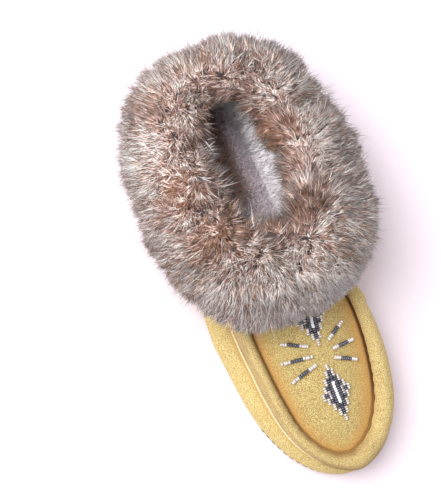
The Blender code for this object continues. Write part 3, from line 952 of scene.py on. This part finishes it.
def joined(name, points, faces, finish, uv=None):
    """One mesh of many copies. Points are rows for each copy, faces are those of a single copy."""
    copies, size = points.shape[:2]
    every_face = [[i + size * copy for i in face] for copy in range(copies) for face in faces]
    mesh = bpy.data.meshes.new(name)
    mesh.from_pydata(points.reshape(-1, 3).tolist(), [], every_face)
    if uv is not None:
        corners = np.array([corner for face in every_face for corner in face])
        layer = mesh.uv_layers.new(name="OFBake")
        layer.data.foreach_set("uv", uv.reshape(-1, 2)[corners].astype(np.float32).ravel())
    mesh.materials.append(finish)
    piece = new_object(name, mesh)
    select_only(piece)
    bpy.ops.object.shade_smooth()
    return piece


def scattered(piece, count, draw, weight):
    """This many random places on a piece with the directions it faces there, spread by area and weight.

    On a piece with two finishes they lie on the second one only."""
    mesh = piece.data
    mesh.calc_loop_triangles()
    corners = np.array([loop.vertices for loop in mesh.loop_triangles])
    points, normals = points_of(piece), normals_of(piece)
    a, b, c = points[corners[:, 0]], points[corners[:, 1]], points[corners[:, 2]]
    share = np.linalg.norm(np.cross(b - a, c - a), axis=1)
    share = share * weight((a + b + c) / 3, normals[corners].mean(axis=1))
    if len(mesh.materials) > 1:
        finishes = np.array([face.material_index for face in mesh.polygons])
        share = share * (finishes[[loop.polygon_index for loop in mesh.loop_triangles]] == 1)
    chosen = draw.choice(len(corners), count, p=share / share.sum())
    u, v = draw.random((2, count))
    flip = u + v > 1
    u, v = np.where(flip, 1 - u, u), np.where(flip, 1 - v, v)
    mix = np.stack([1 - u - v, u, v], axis=1)[:, :, None]
    places = (points[corners[chosen]] * mix).sum(axis=1)
    facing = (normals[corners[chosen]] * mix).sum(axis=1)
    return places, unit(facing)


# %% [markdown]
# ## Stitches in the sole's side
# The sole's suede is drawn together round the toe with a waxed brown thread, and its stitches show
# on the outer side, where the sole stands out furthest. One stitch is a short six-sided rod. Rays
# from outside find the places for its copies, which lie half sunk along the sole's side.

# %% Stitches
STITCH_LENGTH, STITCH_PITCH, STITCH_RADIUS = 2.8 * MM, 5.0 * MM, 0.38 * MM
STITCH_HEIGHT = 7.5 * MM
STITCHED_TO = (4 * MM, -84 * MM)    # they are sewn on the outer side of this and toward the toe
THREAD_AHEAD = 1 * MM               # a stitch points to where the line is this much further on

thread = new_material("waxed_brown_thread", "#4E3620", 0.6)
rod_points, rod_faces = template_of(
    bpy.ops.mesh.primitive_cylinder_add, vertices=6, radius=STITCH_RADIUS, depth=STITCH_LENGTH
)
stitched = (ridge[:, X] <= STITCHED_TO[X]) & (ridge[:, Y] <= STITCHED_TO[Y])
hits = [
    skin_from_outside(sole_surface, place, out, STITCH_HEIGHT)[0]
    for place, out in zip(ridge[stitched], plan_out[stitched])
]
stitch_line = np.array(sorted(filter(None, hits), key=lambda hit: -hit[Y] + 0.4 * hit[X]))
cuts = np.arange(STITCH_PITCH, lengths_along(stitch_line)[-1] - STITCH_PITCH, STITCH_PITCH)
middles = places_at(stitch_line, cuts)
stitch_copies = []
for middle, way in zip(middles, unit(places_at(stitch_line, cuts + THREAD_AHEAD) - middles)):
    turn = np.array(Vector(way).to_track_quat("Z", "Y").to_matrix())
    stitch_copies.append(rod_points @ turn.T + middle)
stitches = joined("sole_stitches", np.array(stitch_copies), rod_faces, thread)
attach(stitches, "root")
print("stitches:", len(stitch_copies), "with", triangles(stitches), "triangles")

# %% [markdown]
# ## Seed beads
# Glass beads 2.1 mm across are strung and sewn down in rows that run toward the toe: two diamonds,
# one behind the other, and three rays on either side. They are drawn 2.4 mm across, so that the rows
# look as full as sewn ones do. The chart reads each row from its heel end: silver-lined (L), gunmetal
# (D), satin white (W) and silver (S). A line straight down finds the apron's surface for each bead,
# and the bead lies a little sunk in the nap.

# %% Beads
BEAD_ACROSS, BEAD_PITCH, ROW_GAP = 2.4 * MM, 1.44 * MM, 2.1 * MM
DIAMOND_ROWS = (
    "LLLDDDDDWWWWWWWWWWDDDDDLLL",
    "LLLDDDDDDDDDDDDDDLLL",
    "LLLDDSSSSDDLLL",
    "LLLDDLLL",
    "LLL",
)
DIAMOND_CENTRES = ((4.0, -84.2), (4.2, -34.8))      # millimetres, toe's and heel's
RAY_BEAD_SCALE = 1.18       # the rays are strung with larger beads
RAYS = (
    ((-2.2, -51.3), (-16.9, -43.3), "LLLLDDDDDLLL"),
    ((-2.0, -58.0), (-20.3, -54.9), "LLLLDDDDDLLLL"),
    ((-1.4, -63.5), (-18.4, -68.2), "LLLLDDDDDLLLL"),
    ((10.4, -52.5), (23.4, -46.5), "LLLDDDDLLL"),
    ((11.5, -58.9), (26.4, -59.7), "LLLDDDDDLLL"),
    ((10.7, -64.4), (24.1, -71.9), "LLLDDDDDLLL"),
)


def glass(name, colour, roughness, metallic):
    """Pressed glass of a seed bead, with a silvered hole where metallic is above 0."""
    return new_material(
        name, colour, roughness, Metallic=metallic, Coat_Weight=0.6, Coat_Roughness=0.08
    )


BEAD_GLASS = {
    "L": glass("silver_lined_glass", "#DED5D0", 0.22, 0.35),
    "D": glass("gunmetal_glass", "#5B5B66", 0.28, 0.5),
    "W": glass("satin_white_glass", "#FFFFFF", 0.3, 0.0),
    "S": glass("silver_glass", "#C4BEC2", 0.22, 0.6),
}
BEAD_RING, BEAD_GLASS_RADIUS = 0.29 * BEAD_ACROSS, 0.21 * BEAD_ACROSS
BEAD_STANDS = 0.4 * BEAD_ACROSS     # how far its middle stands out of the surface
SEWN_OFF, STRUNG_OFF = 0.09 * MM, 0.05      # how uneven the sewing is, in place and in direction

bead_points, bead_faces = template_of(
    bpy.ops.mesh.primitive_torus_add, major_segments=8, minor_segments=5,
    major_radius=BEAD_RING, minor_radius=BEAD_GLASS_RADIUS,
)
bead_points[:, Z] *= 0.98 * BEAD_PITCH / (2 * BEAD_GLASS_RADIUS)
strung = []     # place in plan, direction of the string, letter
for centre_x, centre_y in DIAMOND_CENTRES:
    for column, row in enumerate(DIAMOND_ROWS):
        for side in (-1, 1) if column else (1,):
            for number, letter in enumerate(row):
                x = centre_x * MM + side * column * ROW_GAP
                y = centre_y * MM + (len(row) / 2 - 0.5 - number) * BEAD_PITCH
                strung.append((x, y, 0, -1, letter))
for inner, outer, row in RAYS:
    inner, outer = Vector(inner) * MM, Vector(outer) * MM
    run = (outer - inner).normalized()
    for number, letter in enumerate(row):
        x, y = inner.lerp(outer, (number + 0.5) / len(row))
        strung.append((x, y, run.x, run.y, letter))

apron_surface = surface_of(apron)
draw = np.random.default_rng(DRAWING_SEED)
bead_copies, bead_letters = [], []
for x, y, run_x, run_y, letter in strung:
    x, y = np.array((x, y)) + draw.normal(0, SEWN_OFF, 2)
    place, facing = apron_surface.ray_cast(Vector((x, y, 1)), Vector((0, 0, -1)))[:2]
    if place is None:
        continue
    string = (Vector((run_x, run_y, 0)) + Vector(draw.normal(0, STRUNG_OFF, 3))).normalized()
    string = (string - facing * string.dot(facing)).normalized()
    turn = np.array([string.cross(facing), facing, string])
    size = draw.uniform(0.94, 1.05) * (RAY_BEAD_SCALE if run_x else 1)
    bead_copies.append(bead_points @ turn * size + np.array(place + facing * BEAD_STANDS))
    bead_letters.append(letter)
beads = joined("seed_beads", np.array(bead_copies), bead_faces, BEAD_GLASS["L"])
for letter in "DWS":
    beads.data.materials.append(BEAD_GLASS[letter])
slots = np.repeat(["LDWS".index(letter) for letter in bead_letters], len(bead_faces))
beads.data.polygons.foreach_set("material_index", slots.astype(np.int32))
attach(beads, "root")
print("beads:", len(bead_copies), "with", triangles(beads), "triangles")

# %% [markdown]
# ## Hair and pile
# A hair is a sliver of three sides, widest at its root, that ends in a point. The long guard hairs
# and the pile are spindles, widest about a third of the way up. Each is grown from a place on the
# skin in a direction, bends as it goes, and takes its colour from a palette: across the palette lies
# the hair's tone, up the palette the way from its root to its tip. Real hairs are 0.02 to 0.1 mm
# thick, which can't be drawn here, so they are drawn coarser.

# %% Hair helpers
SWELL_AT = -0.2         # height of a spindle's widest place, where -1 is its root and 1 its tip
TOWARD_ROOT = 1.25      # this power moves a template's points toward its root
TONE_SPREAD = 0.004     # a hair covers this much of the palette's width
PALETTE_EDGE = 0.02     # and stays this far inside the palette's ends
SLIVER_POINTS, SLIVER_FACES = template_of(
    bpy.ops.mesh.primitive_cone_add, vertices=3, radius1=1, depth=2, end_fill_type="NGON"
)
SPINDLE_POINTS, SPINDLE_FACES = template_of(
    bpy.ops.mesh.primitive_cone_add, vertices=3, radius1=1, depth=2, end_fill_type="TRIFAN"
)
on_ring = np.hypot(SPINDLE_POINTS[:, X], SPINDLE_POINTS[:, Y]) > 0.5
SPINDLE_POINTS[on_ring, Z] = SWELL_AT


def hair_strands(shape, roots, ways, bends, lengths, radius, tones):
    """Points and palette places of many hairs. Bends are where the tips are pulled to, in lengths."""
    up = ((shape[:, Z] + 1) / 2) ** TOWARD_ROOT
    side = unit(np.cross(ways, ways[:, [Y, Z, X]] + 0.3))
    other = np.cross(ways, side)
    line = ways[:, None] * up[None, :, None] + bends[:, None] * (up**2)[None, :, None]
    across = side[:, None] * shape[None, :, :1] + other[:, None] * shape[None, :, 1:2]
    points = roots[:, None] + line * lengths[:, None, None] + across * radius
    uv = np.empty((*points.shape[:2], 2))
    uv[..., 0] = tones[:, None] + shape[None, :, X] * TONE_SPREAD
    uv[..., 1] = PALETTE_EDGE + (1 - 2 * PALETTE_EDGE) * up[None, :]
    return points, uv


def hair_palette(name, stops, roughness, sheen):
    """A hair's colour by tone and by the way along it: stops are (tone, root, middle, tip)."""
    made = new_material(
        name, stops[0][2], roughness, Sheen_Weight=sheen, Sheen_Roughness=0.5, Specular_IOR_Level=0.25
    )
    uv = add_node(made, "ShaderNodeUVMap", {"uv_map": "OFBake"}).outputs[0]
    parts = add_node(made, "ShaderNodeSeparateXYZ", {}, {0: uv})
    tone, along = parts.outputs[0], parts.outputs[1]
    colours = []
    for part in (1, 2, 3):
        picked = add_node(made, "ShaderNodeValToRGB", {}, {0: tone})
        bar = picked.color_ramp.elements
        for element, stop in zip(bar, (stops[0], stops[-1])):
            element.position = stop[0]
            element.color = linear(stop[part])
        for stop in stops[1:-1]:
            bar.new(stop[0]).color = linear(stop[part])
        colours.append(picked.outputs[0])
    root, middle, tip = colours
    colour = laid_over(made, along, (0.12, 0.38), root, middle)
    colour = laid_over(made, along, (0.5, 0.7), colour, tip)
    finish_with(made, Base_Color=colour)
    return made


# %% Fleece pile
WALL_TUFTS, CUP_TUFTS, FLOOR_TUFTS = 7700, 2100, 4200
PILE_LENGTH, PILE_RADIUS = 5.0 * MM, 0.45 * MM
PILE_SUNK = 0.4 * MM
PILE_FREE = 4.5 * MM        # no pile stands nearer than this to a seam
pile_finish = hair_palette(
    "sheared_fleece_pile",
    (
        (0.0, "#644A42", "#8E6C60", "#A6877B"),
        (0.25, "#E6D8E0", "#F8EBF4", "#FFF7FE"),
        (1.0, "#F2E6EA", "#FDF5F9", "#FFFBFE"),
    ),
    1.0, 0.4,
)


def near_opening(places, _facing):
    """Pile is drawn where the foot opening lets it be seen, and well away from the seams."""
    from_seam = np.minimum(distance_to(places, seam_line), distance_to(places, outer_lip))
    return rise(places, Y, -30, 5) * (from_seam > PILE_FREE)


def insole_top(places, facing):
    """On the insole the pile stands on its upper side only."""
    return near_opening(places, facing) * (facing[:, Z] > 0.3)


wall_roots = scattered(wall, WALL_TUFTS, draw, near_opening)
cup_roots = scattered(sole, CUP_TUFTS, draw, near_opening)
floor_roots = scattered(insole, FLOOR_TUFTS, draw, insole_top)
pile_roots, pile_ways = (np.concatenate(pair) for pair in zip(wall_roots, cup_roots, floor_roots))
pile_ways = unit(pile_ways + draw.normal(0, 0.35, pile_ways.shape))
pile_ways[:, Z] -= 0.15
pile_length = PILE_LENGTH * (1 + 0.9 * rise(pile_roots, Z, 18, 40))
pile_bends = draw.normal(0, 0.25, pile_ways.shape)
pile_length = pile_length * draw.uniform(0.7, 1.1, len(pile_roots))
# the pile round the heel takes the palette's brown end: trodden in, and painted shade of the fur
pile_tones = draw.uniform(0.3, 0.95, len(pile_roots)) * (1 - heel_trodden_and_shaded(pile_roots))
pile_points, pile_uv = hair_strands(
    SPINDLE_POINTS, pile_roots - pile_ways * PILE_SUNK, pile_ways, pile_bends, pile_length,
    PILE_RADIUS, pile_tones,
)
pile = joined("lining_pile", pile_points, SPINDLE_FACES, pile_finish, pile_uv)
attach(pile, "root")
print("fleece pile:", triangles(pile), "triangles")

# %% [markdown]
# ## The rabbit's skin under the hair
# The collar's solid is the fur's outside, so its hairs are rooted on a skin that lies deeper: the
# solid's own copy, drawn in along its normals. It is only seen as the dark ground between hairs.

# %% Fur skin
SKIN_DEPTH = 5.6 * MM
SKIN_SHARE = 0.35           # of the solid's thickness where it is thin
SKIN_PROBE = 0.05 * MM      # a ray through the solid starts this far inside it
FUR_SWELL = 2.4 * MM        # the pelt was bent and stuffed unevenly
PELT_FOLDS = (
    Fold((-2, 98, 82), (-7, 118, 96), 6.0, 5.0),         # from the opening's heel end to the back
    Fold((-7, 118, 96), (-5, 134, 84), 6.0, 3.5),
    Fold((20, 84, 82), (34, 80, 94), 6.0, 4.0),          # to the notch in the big toe's side
    Fold((34, 80, 94), (66, 78, 80), 7.5, 6.5),
    Fold((46, 100, 86), (58, 88, 74), 14.0, 3.5),
    Fold((-28, 80, 86), (-38, 84, 95), 5.0, 3.5),        # outer side, toward the heel
    Fold((-38, 84, 95), (-52, 108, 84), 5.5, 3.0),
    Fold((20, 44, 86), (30, 39, 96), 6.0, 4.0),          # big toe's side, toward the front
    Fold((30, 39, 96), (68, 33, 78), 7.0, 4.0),
    Fold((-20, 50, 85), (-41, 42, 98), 5.5, 3.5),        # outer side, toward the front
    Fold((-41, 42, 98), (-68, 32, 80), 6.0, 2.5),
    Fold((-12, 34, 88), (-26, 19, 98), 5.5, 3.5),
    Fold((-26, 19, 98), (-32, -6, 98), 6.0, 3.0),
    Fold((10, 12, 98), (-1, 0, 100), 4.5, 3.5),          # the front's parting
    Fold((-1, 0, 100), (-9, -18, 97), 4.5, 3.0),
    Fold((21, 56, 82), (19, 82, 82), 12.0, -6.0),        # it bulges into the opening here
    Fold((-19, 84, 73), (-21, 46, 73), 13.0, -7.0),
)

skin = copy_of("fur_collar", "fur_skin")
skin.data.materials.append(new_material("rabbit_hide_with_underfur", "#40312E", 1.0))
fur_envelope = surface_of(skin)
thickness = []
for point, normal in zip(points_of(skin), normals_of(skin)):
    inward = -Vector(normal)
    through = fur_envelope.ray_cast(Vector(point) + inward * SKIN_PROBE, inward)[3]
    thickness.append(through or SKIN_DEPTH)
push_in(skin, np.minimum(SKIN_DEPTH, SKIN_SHARE * np.array(thickness)))
apply_modifier(skin, "SMOOTH", factor=0.5, iterations=6)
subdivide(skin, 1)
swell = np.minimum(FUR_SWELL * lumps(points_of(skin), 15 * MM, 41), 0.6 * FUR_SWELL)
push_in(skin, -swell)
press(skin, PELT_FOLDS)
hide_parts("fur_collar")
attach(skin, "root")
print("fur skin:", triangles(skin), "triangles")

# %% [markdown]
# ## Rabbit fur
# The pelt is a wild-grey one: each hair has a slate root, a pale band and a tip that is charcoal,
# tan, rust or white. The hairs fan out from the collar's crest, over its outer side and down into the
# foot opening, where they are darker as painted shade. They gather in locks about 5 mm across that
# lean their own way, and at a larger scale in tufts, with gaps between them whose hairs are given
# painted shade, as are partings. Partings are placed where the pelt is bent, and so are the rusty,
# pale and dark patches; the dark patches are partly painted shade in the pelt's clefts.

# %% Fur settings
CREST_CENTRE, CREST_HALF, CREST_POWER = np.array((0.0, 57.0)), np.array((43.0, 60.0)), 2.4
FUR_HAIRS, GUARD_HAIRS = 158000, 10000
HAIR_LENGTH, GUARD_LENGTH = 10.0 * MM, 15.5 * MM
HAIR_RADIUS, GUARD_RADIUS = 0.35 * MM, 0.22 * MM
HAIR_PAST_SOLID, GUARD_PAST_SOLID = 4.0 * MM, 8.0 * MM      # how far tips may pass the fur's solid
HAIR_LEAN, GUARD_LEAN = math.radians(48), math.radians(44)
HAIR_STRAY, GUARD_STRAY = 0.2, 0.3
HAIR_SIZE, LOCK_SIZE = (0.75, 1.15), (0.82, 1.12)       # how hairs and locks differ in length
SHORTER_IN_GAP, LONGER_INSIDE, SHORTER_BELOW = 0.25, 0.4, 0.35      # shares of a hair's length
LEAST_LIFT = 0.35           # a hair rises from the skin at least this much for each length of it
GATHERED = (0.05, 0.4)      # how far tips are drawn to the middle of their lock
SWEPT, UNEVEN_BEND, SAG = 0.22, 0.05, 0.06      # how far tips bend with the flow, at random and down
INTO_OPENING = 8.0 * MM     # hair hangs this much further into the foot opening
PARTED_INSIDE = 13.0 * MM   # the hair parts this far inside the crest, by the foot opening
PARTED_OVER = 9.0 * MM      # it turns from one way to the other across this distance
FANNED_OUT, SWIRLED, COMBED_DOWN = 1.1, 0.55, 0.45      # what the direction of the hair is made of
SWIRL, PARTING_SWAY = 15.0 * MM, 4.0 * MM       # how wide it swirls, and how far the parting sways
ROOT_SUNK = 0.6 * MM
LOCKS, LOCK_TURN, LOCK_TONE = 3400, 0.34, 0.18
TUFTS, TUFT_GAP, TUFT_SEED, TUFT_PULL = 190, 3.0 * MM, 7, 0.7
TUFT_SWIRL, TUFT_WARP = 9.0 * MM, 2.5 * MM      # their gaps wander over this distance, this far
# painted shade: hairs in the gaps between tufts and in partings are darker
SHADE_PAINTED_IN_GAP = 0.22
RUSTY = (
    (-42, 114, 89), (20, 72, 81), (-38, 63, 95), (-38, 32, 98), (-22, 29, 96), (23, 3, 100),
    (-51, -9, 82), (-1, 122, 94), (-45, 60, 97), (-2, 29, 89),
)
ROSY = (
    (-69, 36, 64), (-66, 16, 67), (16, -8, 99), (-27, -7, 99), (-57, 19, 91), (40, -6, 88),
    (-60, 27, 84),
)
PALE = (
    (1, -15, 98), (4, -12, 99), (20, 6, 100), (-59, 103, 75), (-68, 68, 78), (-56, 82, 91),
    (42, 100, 94), (45, 60, 97), (-55, 36, 93), (-32, -13, 94), (38, 78, 96), (38, 26, 99), (-25, 123, 91),
    (-60, 27, 84), (-55, 10, 78), (19, 60, 86), (16, 42, 86),
)
# dark patches: partly dark hair and partly painted shade in the pelt's clefts
DARK_AND_SHADED = (
    (-3, 105, 90), (18, 114, 96), (22, 61, 83), (-46, 32, 97), (-41, 22, 99), (-1, 0, 100), (16, 92, 83),
    (-36, 58, 94), (-20, 38, 92), (-52, 60, 95), (12, 22, 95), (19, 52, 82), (-20, 92, 90),
    (9, 16, 98), (26, 66, 88), (24, 50, 88), (24, 40, 90), (26, 78, 88), (-12, 24, 96), (30, 30, 96),
)
Parting = namedtuple("Parting", "start end width strength")     # millimetres, and how far hair is pushed
PARTINGS = (
    Parting((8, 22, 97), (11, 10, 98), 6.0, 2.4),
    Parting((-1, 0, 100), (-2, -14, 97), 3.5, 1.0),
    Parting((2, 104, 90), (-6, 116, 96), 3.5, 0.4),
    Parting((18, 113, 96), (26, 124, 92), 3.5, 0.5),
    Parting((22, 70, 84), (30, 66, 95), 3.5, 0.4),
    Parting((-46, 32, 97), (-40, 20, 99), 3.5, 0.5),
    Parting((44, 60, 97), (54, 60, 88), 3.0, 0.4),
)
fur_finish = hair_palette(
    "wild_grey_rabbit_fur",
    (
        (0.00, "#5A4036", "#9C6845", "#6E3D23"),
        (0.18, "#664F47", "#C9A086", "#A5714C"),
        (0.32, "#483936", "#AB8F88", "#1F1412"),
        (0.46, "#5E4B47", "#D5B5AC", "#5E4039"),
        (0.62, "#765F5B", "#F0D2CA", "#C9A59A"),
        (0.80, "#96807A", "#FCECE4", "#FBEDE5"),
        (1.00, "#9F918A", "#FDF8F5", "#FFFFFE"),
    ),
    0.75, 0.25,
)


def hair_weight(places, facing):
    """Fewer hairs where the pelt faces the suede."""
    return 0.12 + 0.88 * smooth_step(-0.55, -0.05, facing[:, Z])


def crest_frame(places):
    """How far beyond the collar's crest places lie, in metres, and which way leads away from it."""
    plan = places[:, :2] / MM - CREST_CENTRE
    ratio = np.abs(plan) / CREST_HALF
    size = (ratio**CREST_POWER).sum(axis=1) ** (1 / CREST_POWER)
    away = np.sign(plan) * ratio ** (CREST_POWER - 1) / CREST_HALF
    away = unit(np.column_stack([away, np.zeros(len(away))]))
    return np.linalg.norm(plan, axis=1) * (1 - 1 / np.maximum(size, 0.05)) * MM, away


def along_skin(ways, facing):
    """The part of these directions that runs along the skin."""
    return ways - facing * (ways * facing).sum(axis=1, keepdims=True)


def at_most_1(ways):
    """Directions with the longer ones cut to length 1."""
    return ways / np.maximum(np.linalg.norm(ways, axis=1, keepdims=True), 1.0)


def swirls(places, size, seeds):
    """A soft random direction at each place, from a seed for each axis."""
    return np.column_stack([lumps(places, size, seed) for seed in seeds])


def comb(places, facing):
    """The direction in which hair lies at each place of the skin, and how near a parting it is, for painted
    shade there.
    """
    beyond, away = crest_frame(places)
    from_parting = beyond + PARTED_INSIDE + PARTING_SWAY * lumps(places, 22 * MM, 24)
    side = np.clip(from_parting / PARTED_OVER, -1, 1)[:, None]
    round_ring = np.column_stack([-away[:, Y], away[:, X], np.zeros(len(away))])
    flow = away * side * FANNED_OUT + round_ring * (1 - np.abs(side)) * FANNED_OUT
    flow += swirls(places, SWIRL, (21, 22, 23)) * SWIRLED
    flow[:, Z] -= COMBED_DOWN * np.abs(side[:, 0])
    shade = np.zeros(len(places))
    for parting in PARTINGS:
        away = along_skin(from_line(places / MM, parting.start, parting.end), facing)
        gap = np.linalg.norm(away, axis=1)
        flow += unit(away) * (fade(gap, 1.5 * parting.width) * parting.strength)[:, None]
        shade = np.maximum(shade, fade(gap, parting.width))
    return at_most_1(along_skin(flow, facing)), shade


def tufts(places):
    """Which way leads to the middle of each place's tuft, and how near the gap between tufts it is."""
    tree = tree_of(scattered(skin, TUFTS, np.random.default_rng(TUFT_SEED), hair_weight)[0])
    warped = places + swirls(places, TUFT_SWIRL, (51, 52, 53)) * TUFT_WARP
    toward, gap = np.empty_like(places), np.empty(len(places))
    for row, place in enumerate(warped):
        (first, _, near), (_, _, far) = tree.find_n(place, 2)
        toward[row] = np.array(first) - places[row]
        gap[row] = far - near
    return unit(toward), fade(gap, TUFT_GAP)


def close_to(places, spots, reach):
    """From 0 to 1: how close places lie to any of these spots, given in millimetres."""
    near = [fade(np.linalg.norm(places / MM - spot, axis=1), reach) for spot in spots]
    return np.minimum(sum(near), 1)


def tone_at(places, shift, draw):
    """Where on the palette hairs lie: grizzled grey and cream, with rusty, pale and dark patches.

    The fur is paler at the front and on the big toe's side. Down in the foot opening it is darker as
    painted shade, and dark patches are partly painted shade."""
    count = len(places)
    tone = 0.58 + shift + 0.15 * lumps(places, 16 * MM, 31) - 0.04 * rise(places, X, -20, -60)
    at_front = rise(places, Y, 25, -15)
    tone += (0.4 + 0.2 * rise(places, X, 0, 25)) * at_front
    tone += 0.1 * rise(places, X, 15, 50) * (1 - at_front)
    tone += draw.choice((-0.38, 0.0, 0.34), count, p=(0.4, 0.2, 0.4)) + draw.normal(0, 0.06, count)
    # pale patches are the pelt's own; the dark ones are partly painted shade in its clefts
    tone += 0.2 * close_to(places, PALE, 13) - 0.32 * close_to(places, DARK_AND_SHADED, 8.5)
    # painted shade: hairs down in the foot opening are darker, most on the big toe's side
    inside = smooth_step(-9 * MM, -20 * MM, crest_frame(places)[0])
    tone -= (0.2 + 0.16 * rise(places, X, -5, 15) - 0.32 * lumps(places, 5 * MM, 61)) * inside
    rust = 0.11 + 0.6 * close_to(places, RUSTY, 9) + 0.15 * close_to(places, ROSY, 16)
    rusty = draw.random(count) < np.minimum(rust, 0.8)
    return np.where(rusty, draw.uniform(0.02, 0.26, count), np.clip(tone, 0.3, 0.97))


# %% Grow the fur
def longest(roots, ways, past_solid, inside, draw):
    """How long hairs may be, so that they end near the fur's solid."""
    count = len(roots)
    room = [fur_envelope.ray_cast(Vector(root), Vector(way))[3] for root, way in zip(roots, ways)]
    room = np.array([far or 0 for far in room])
    past = past_solid * np.maximum(rise(roots, Y, -24, 4), rise(roots, X, -10, -24))
    past += INTO_OPENING * inside
    return room * draw.uniform(0.75, 1.2, count) + (1.2 * MM + past) * draw.uniform(0.3, 1.1, count)


def grow(count, shape, length, radius, draw, past_solid, lean, stray):
    """Points, palette places and roots of this many hairs, gathered in locks and tufts."""
    roots, facing = scattered(skin, count, draw, hair_weight)
    flow, shade = comb(roots, facing)
    toward, between_tufts = tufts(roots)
    flow = at_most_1(flow + toward * (TUFT_PULL * between_tufts)[:, None])
    shade = np.maximum(shade, between_tufts)
    lock_tree = tree_of(scattered(skin, LOCKS, draw, hair_weight)[0])
    lock = np.array([lock_tree.find(root)[1] for root in roots])
    lock_turn = draw.normal(0, LOCK_TURN, (LOCKS, 3))
    lock_size = draw.uniform(*LOCK_SIZE, LOCKS)
    lock_tone = draw.normal(0, LOCK_TONE, LOCKS)
    ways = facing * math.cos(lean) + flow * math.sin(lean) * 1.1 + lock_turn[lock]
    ways = unit(ways + draw.normal(0, stray, facing.shape))
    lift = (ways * facing).sum(axis=1, keepdims=True)
    ways = unit(ways + facing * np.maximum(LEAST_LIFT - lift, 0))
    inside = smooth_step(-8 * MM, -18 * MM, crest_frame(roots)[0])
    long = length * lock_size[lock] * draw.uniform(*HAIR_SIZE, count)
    long *= (1 - SHORTER_IN_GAP * shade) * (1 + LONGER_INSIDE * inside)
    long = np.minimum(long, longest(roots, ways, past_solid, inside, draw))
    long *= 1 - SHORTER_BELOW * smooth_step(0.1, -0.7, facing[:, Z])
    tips = roots + ways * long[:, None]
    total = np.maximum(np.bincount(lock, minlength=LOCKS), 1)[:, None]
    lock_tip = np.stack([np.bincount(lock, tips[:, axis], LOCKS) for axis in (X, Y, Z)], axis=1) / total
    gather = draw.uniform(*GATHERED, count)[:, None]
    pulled = (lock_tip[lock] - tips) * gather / long[:, None]
    bends = flow * SWEPT + pulled + draw.normal(0, UNEVEN_BEND, facing.shape)
    bends[:, Z] -= SAG
    # painted shade: hairs in tuft gaps and partings are toned darker
    tones = tone_at(roots, lock_tone[lock] - SHADE_PAINTED_IN_GAP * shade, draw)
    points, uv = hair_strands(shape, roots - facing * ROOT_SUNK, ways, bends, long, radius, tones)
    return points, uv, roots


print("fur hairs:", FUR_HAIRS, "and guard hairs:", GUARD_HAIRS)
hair_points, hair_uv, hair_roots = grow(
    FUR_HAIRS, SLIVER_POINTS, HAIR_LENGTH, HAIR_RADIUS, draw, HAIR_PAST_SOLID, HAIR_LEAN, HAIR_STRAY
)
guard_points, guard_uv, guard_roots = grow(
    GUARD_HAIRS, SPINDLE_POINTS, GUARD_LENGTH, GUARD_RADIUS, draw, GUARD_PAST_SOLID, GUARD_LEAN,
    GUARD_STRAY,
)

# %% Join the hairs into six sectors of the collar
SECTORS = ("front", "front_inner", "back_inner", "back", "back_outer", "front_outer")


def sector_of(roots):
    """Which sixth of the collar a root is in, counted from the front round by the inner side."""
    plan = (roots[:, :2] / MM - CREST_CENTRE) / CREST_HALF
    turn = np.degrees(np.arctan2(plan[:, Y], plan[:, X])) + 120
    return (turn // 60).astype(int) % 6


for number, sector in enumerate(SECTORS):
    soft, guard = sector_of(hair_roots) == number, sector_of(guard_roots) == number
    piece = joined("fur_" + sector, hair_points[soft], SLIVER_FACES, fur_finish, hair_uv[soft])
    outer = joined("guard_" + sector, guard_points[guard], SPINDLE_FACES, fur_finish, guard_uv[guard])
    select_only(piece)
    outer.select_set(True)
    bpy.ops.object.join()
    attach(piece, "root")
    print(piece.name, triangles(piece), "triangles")
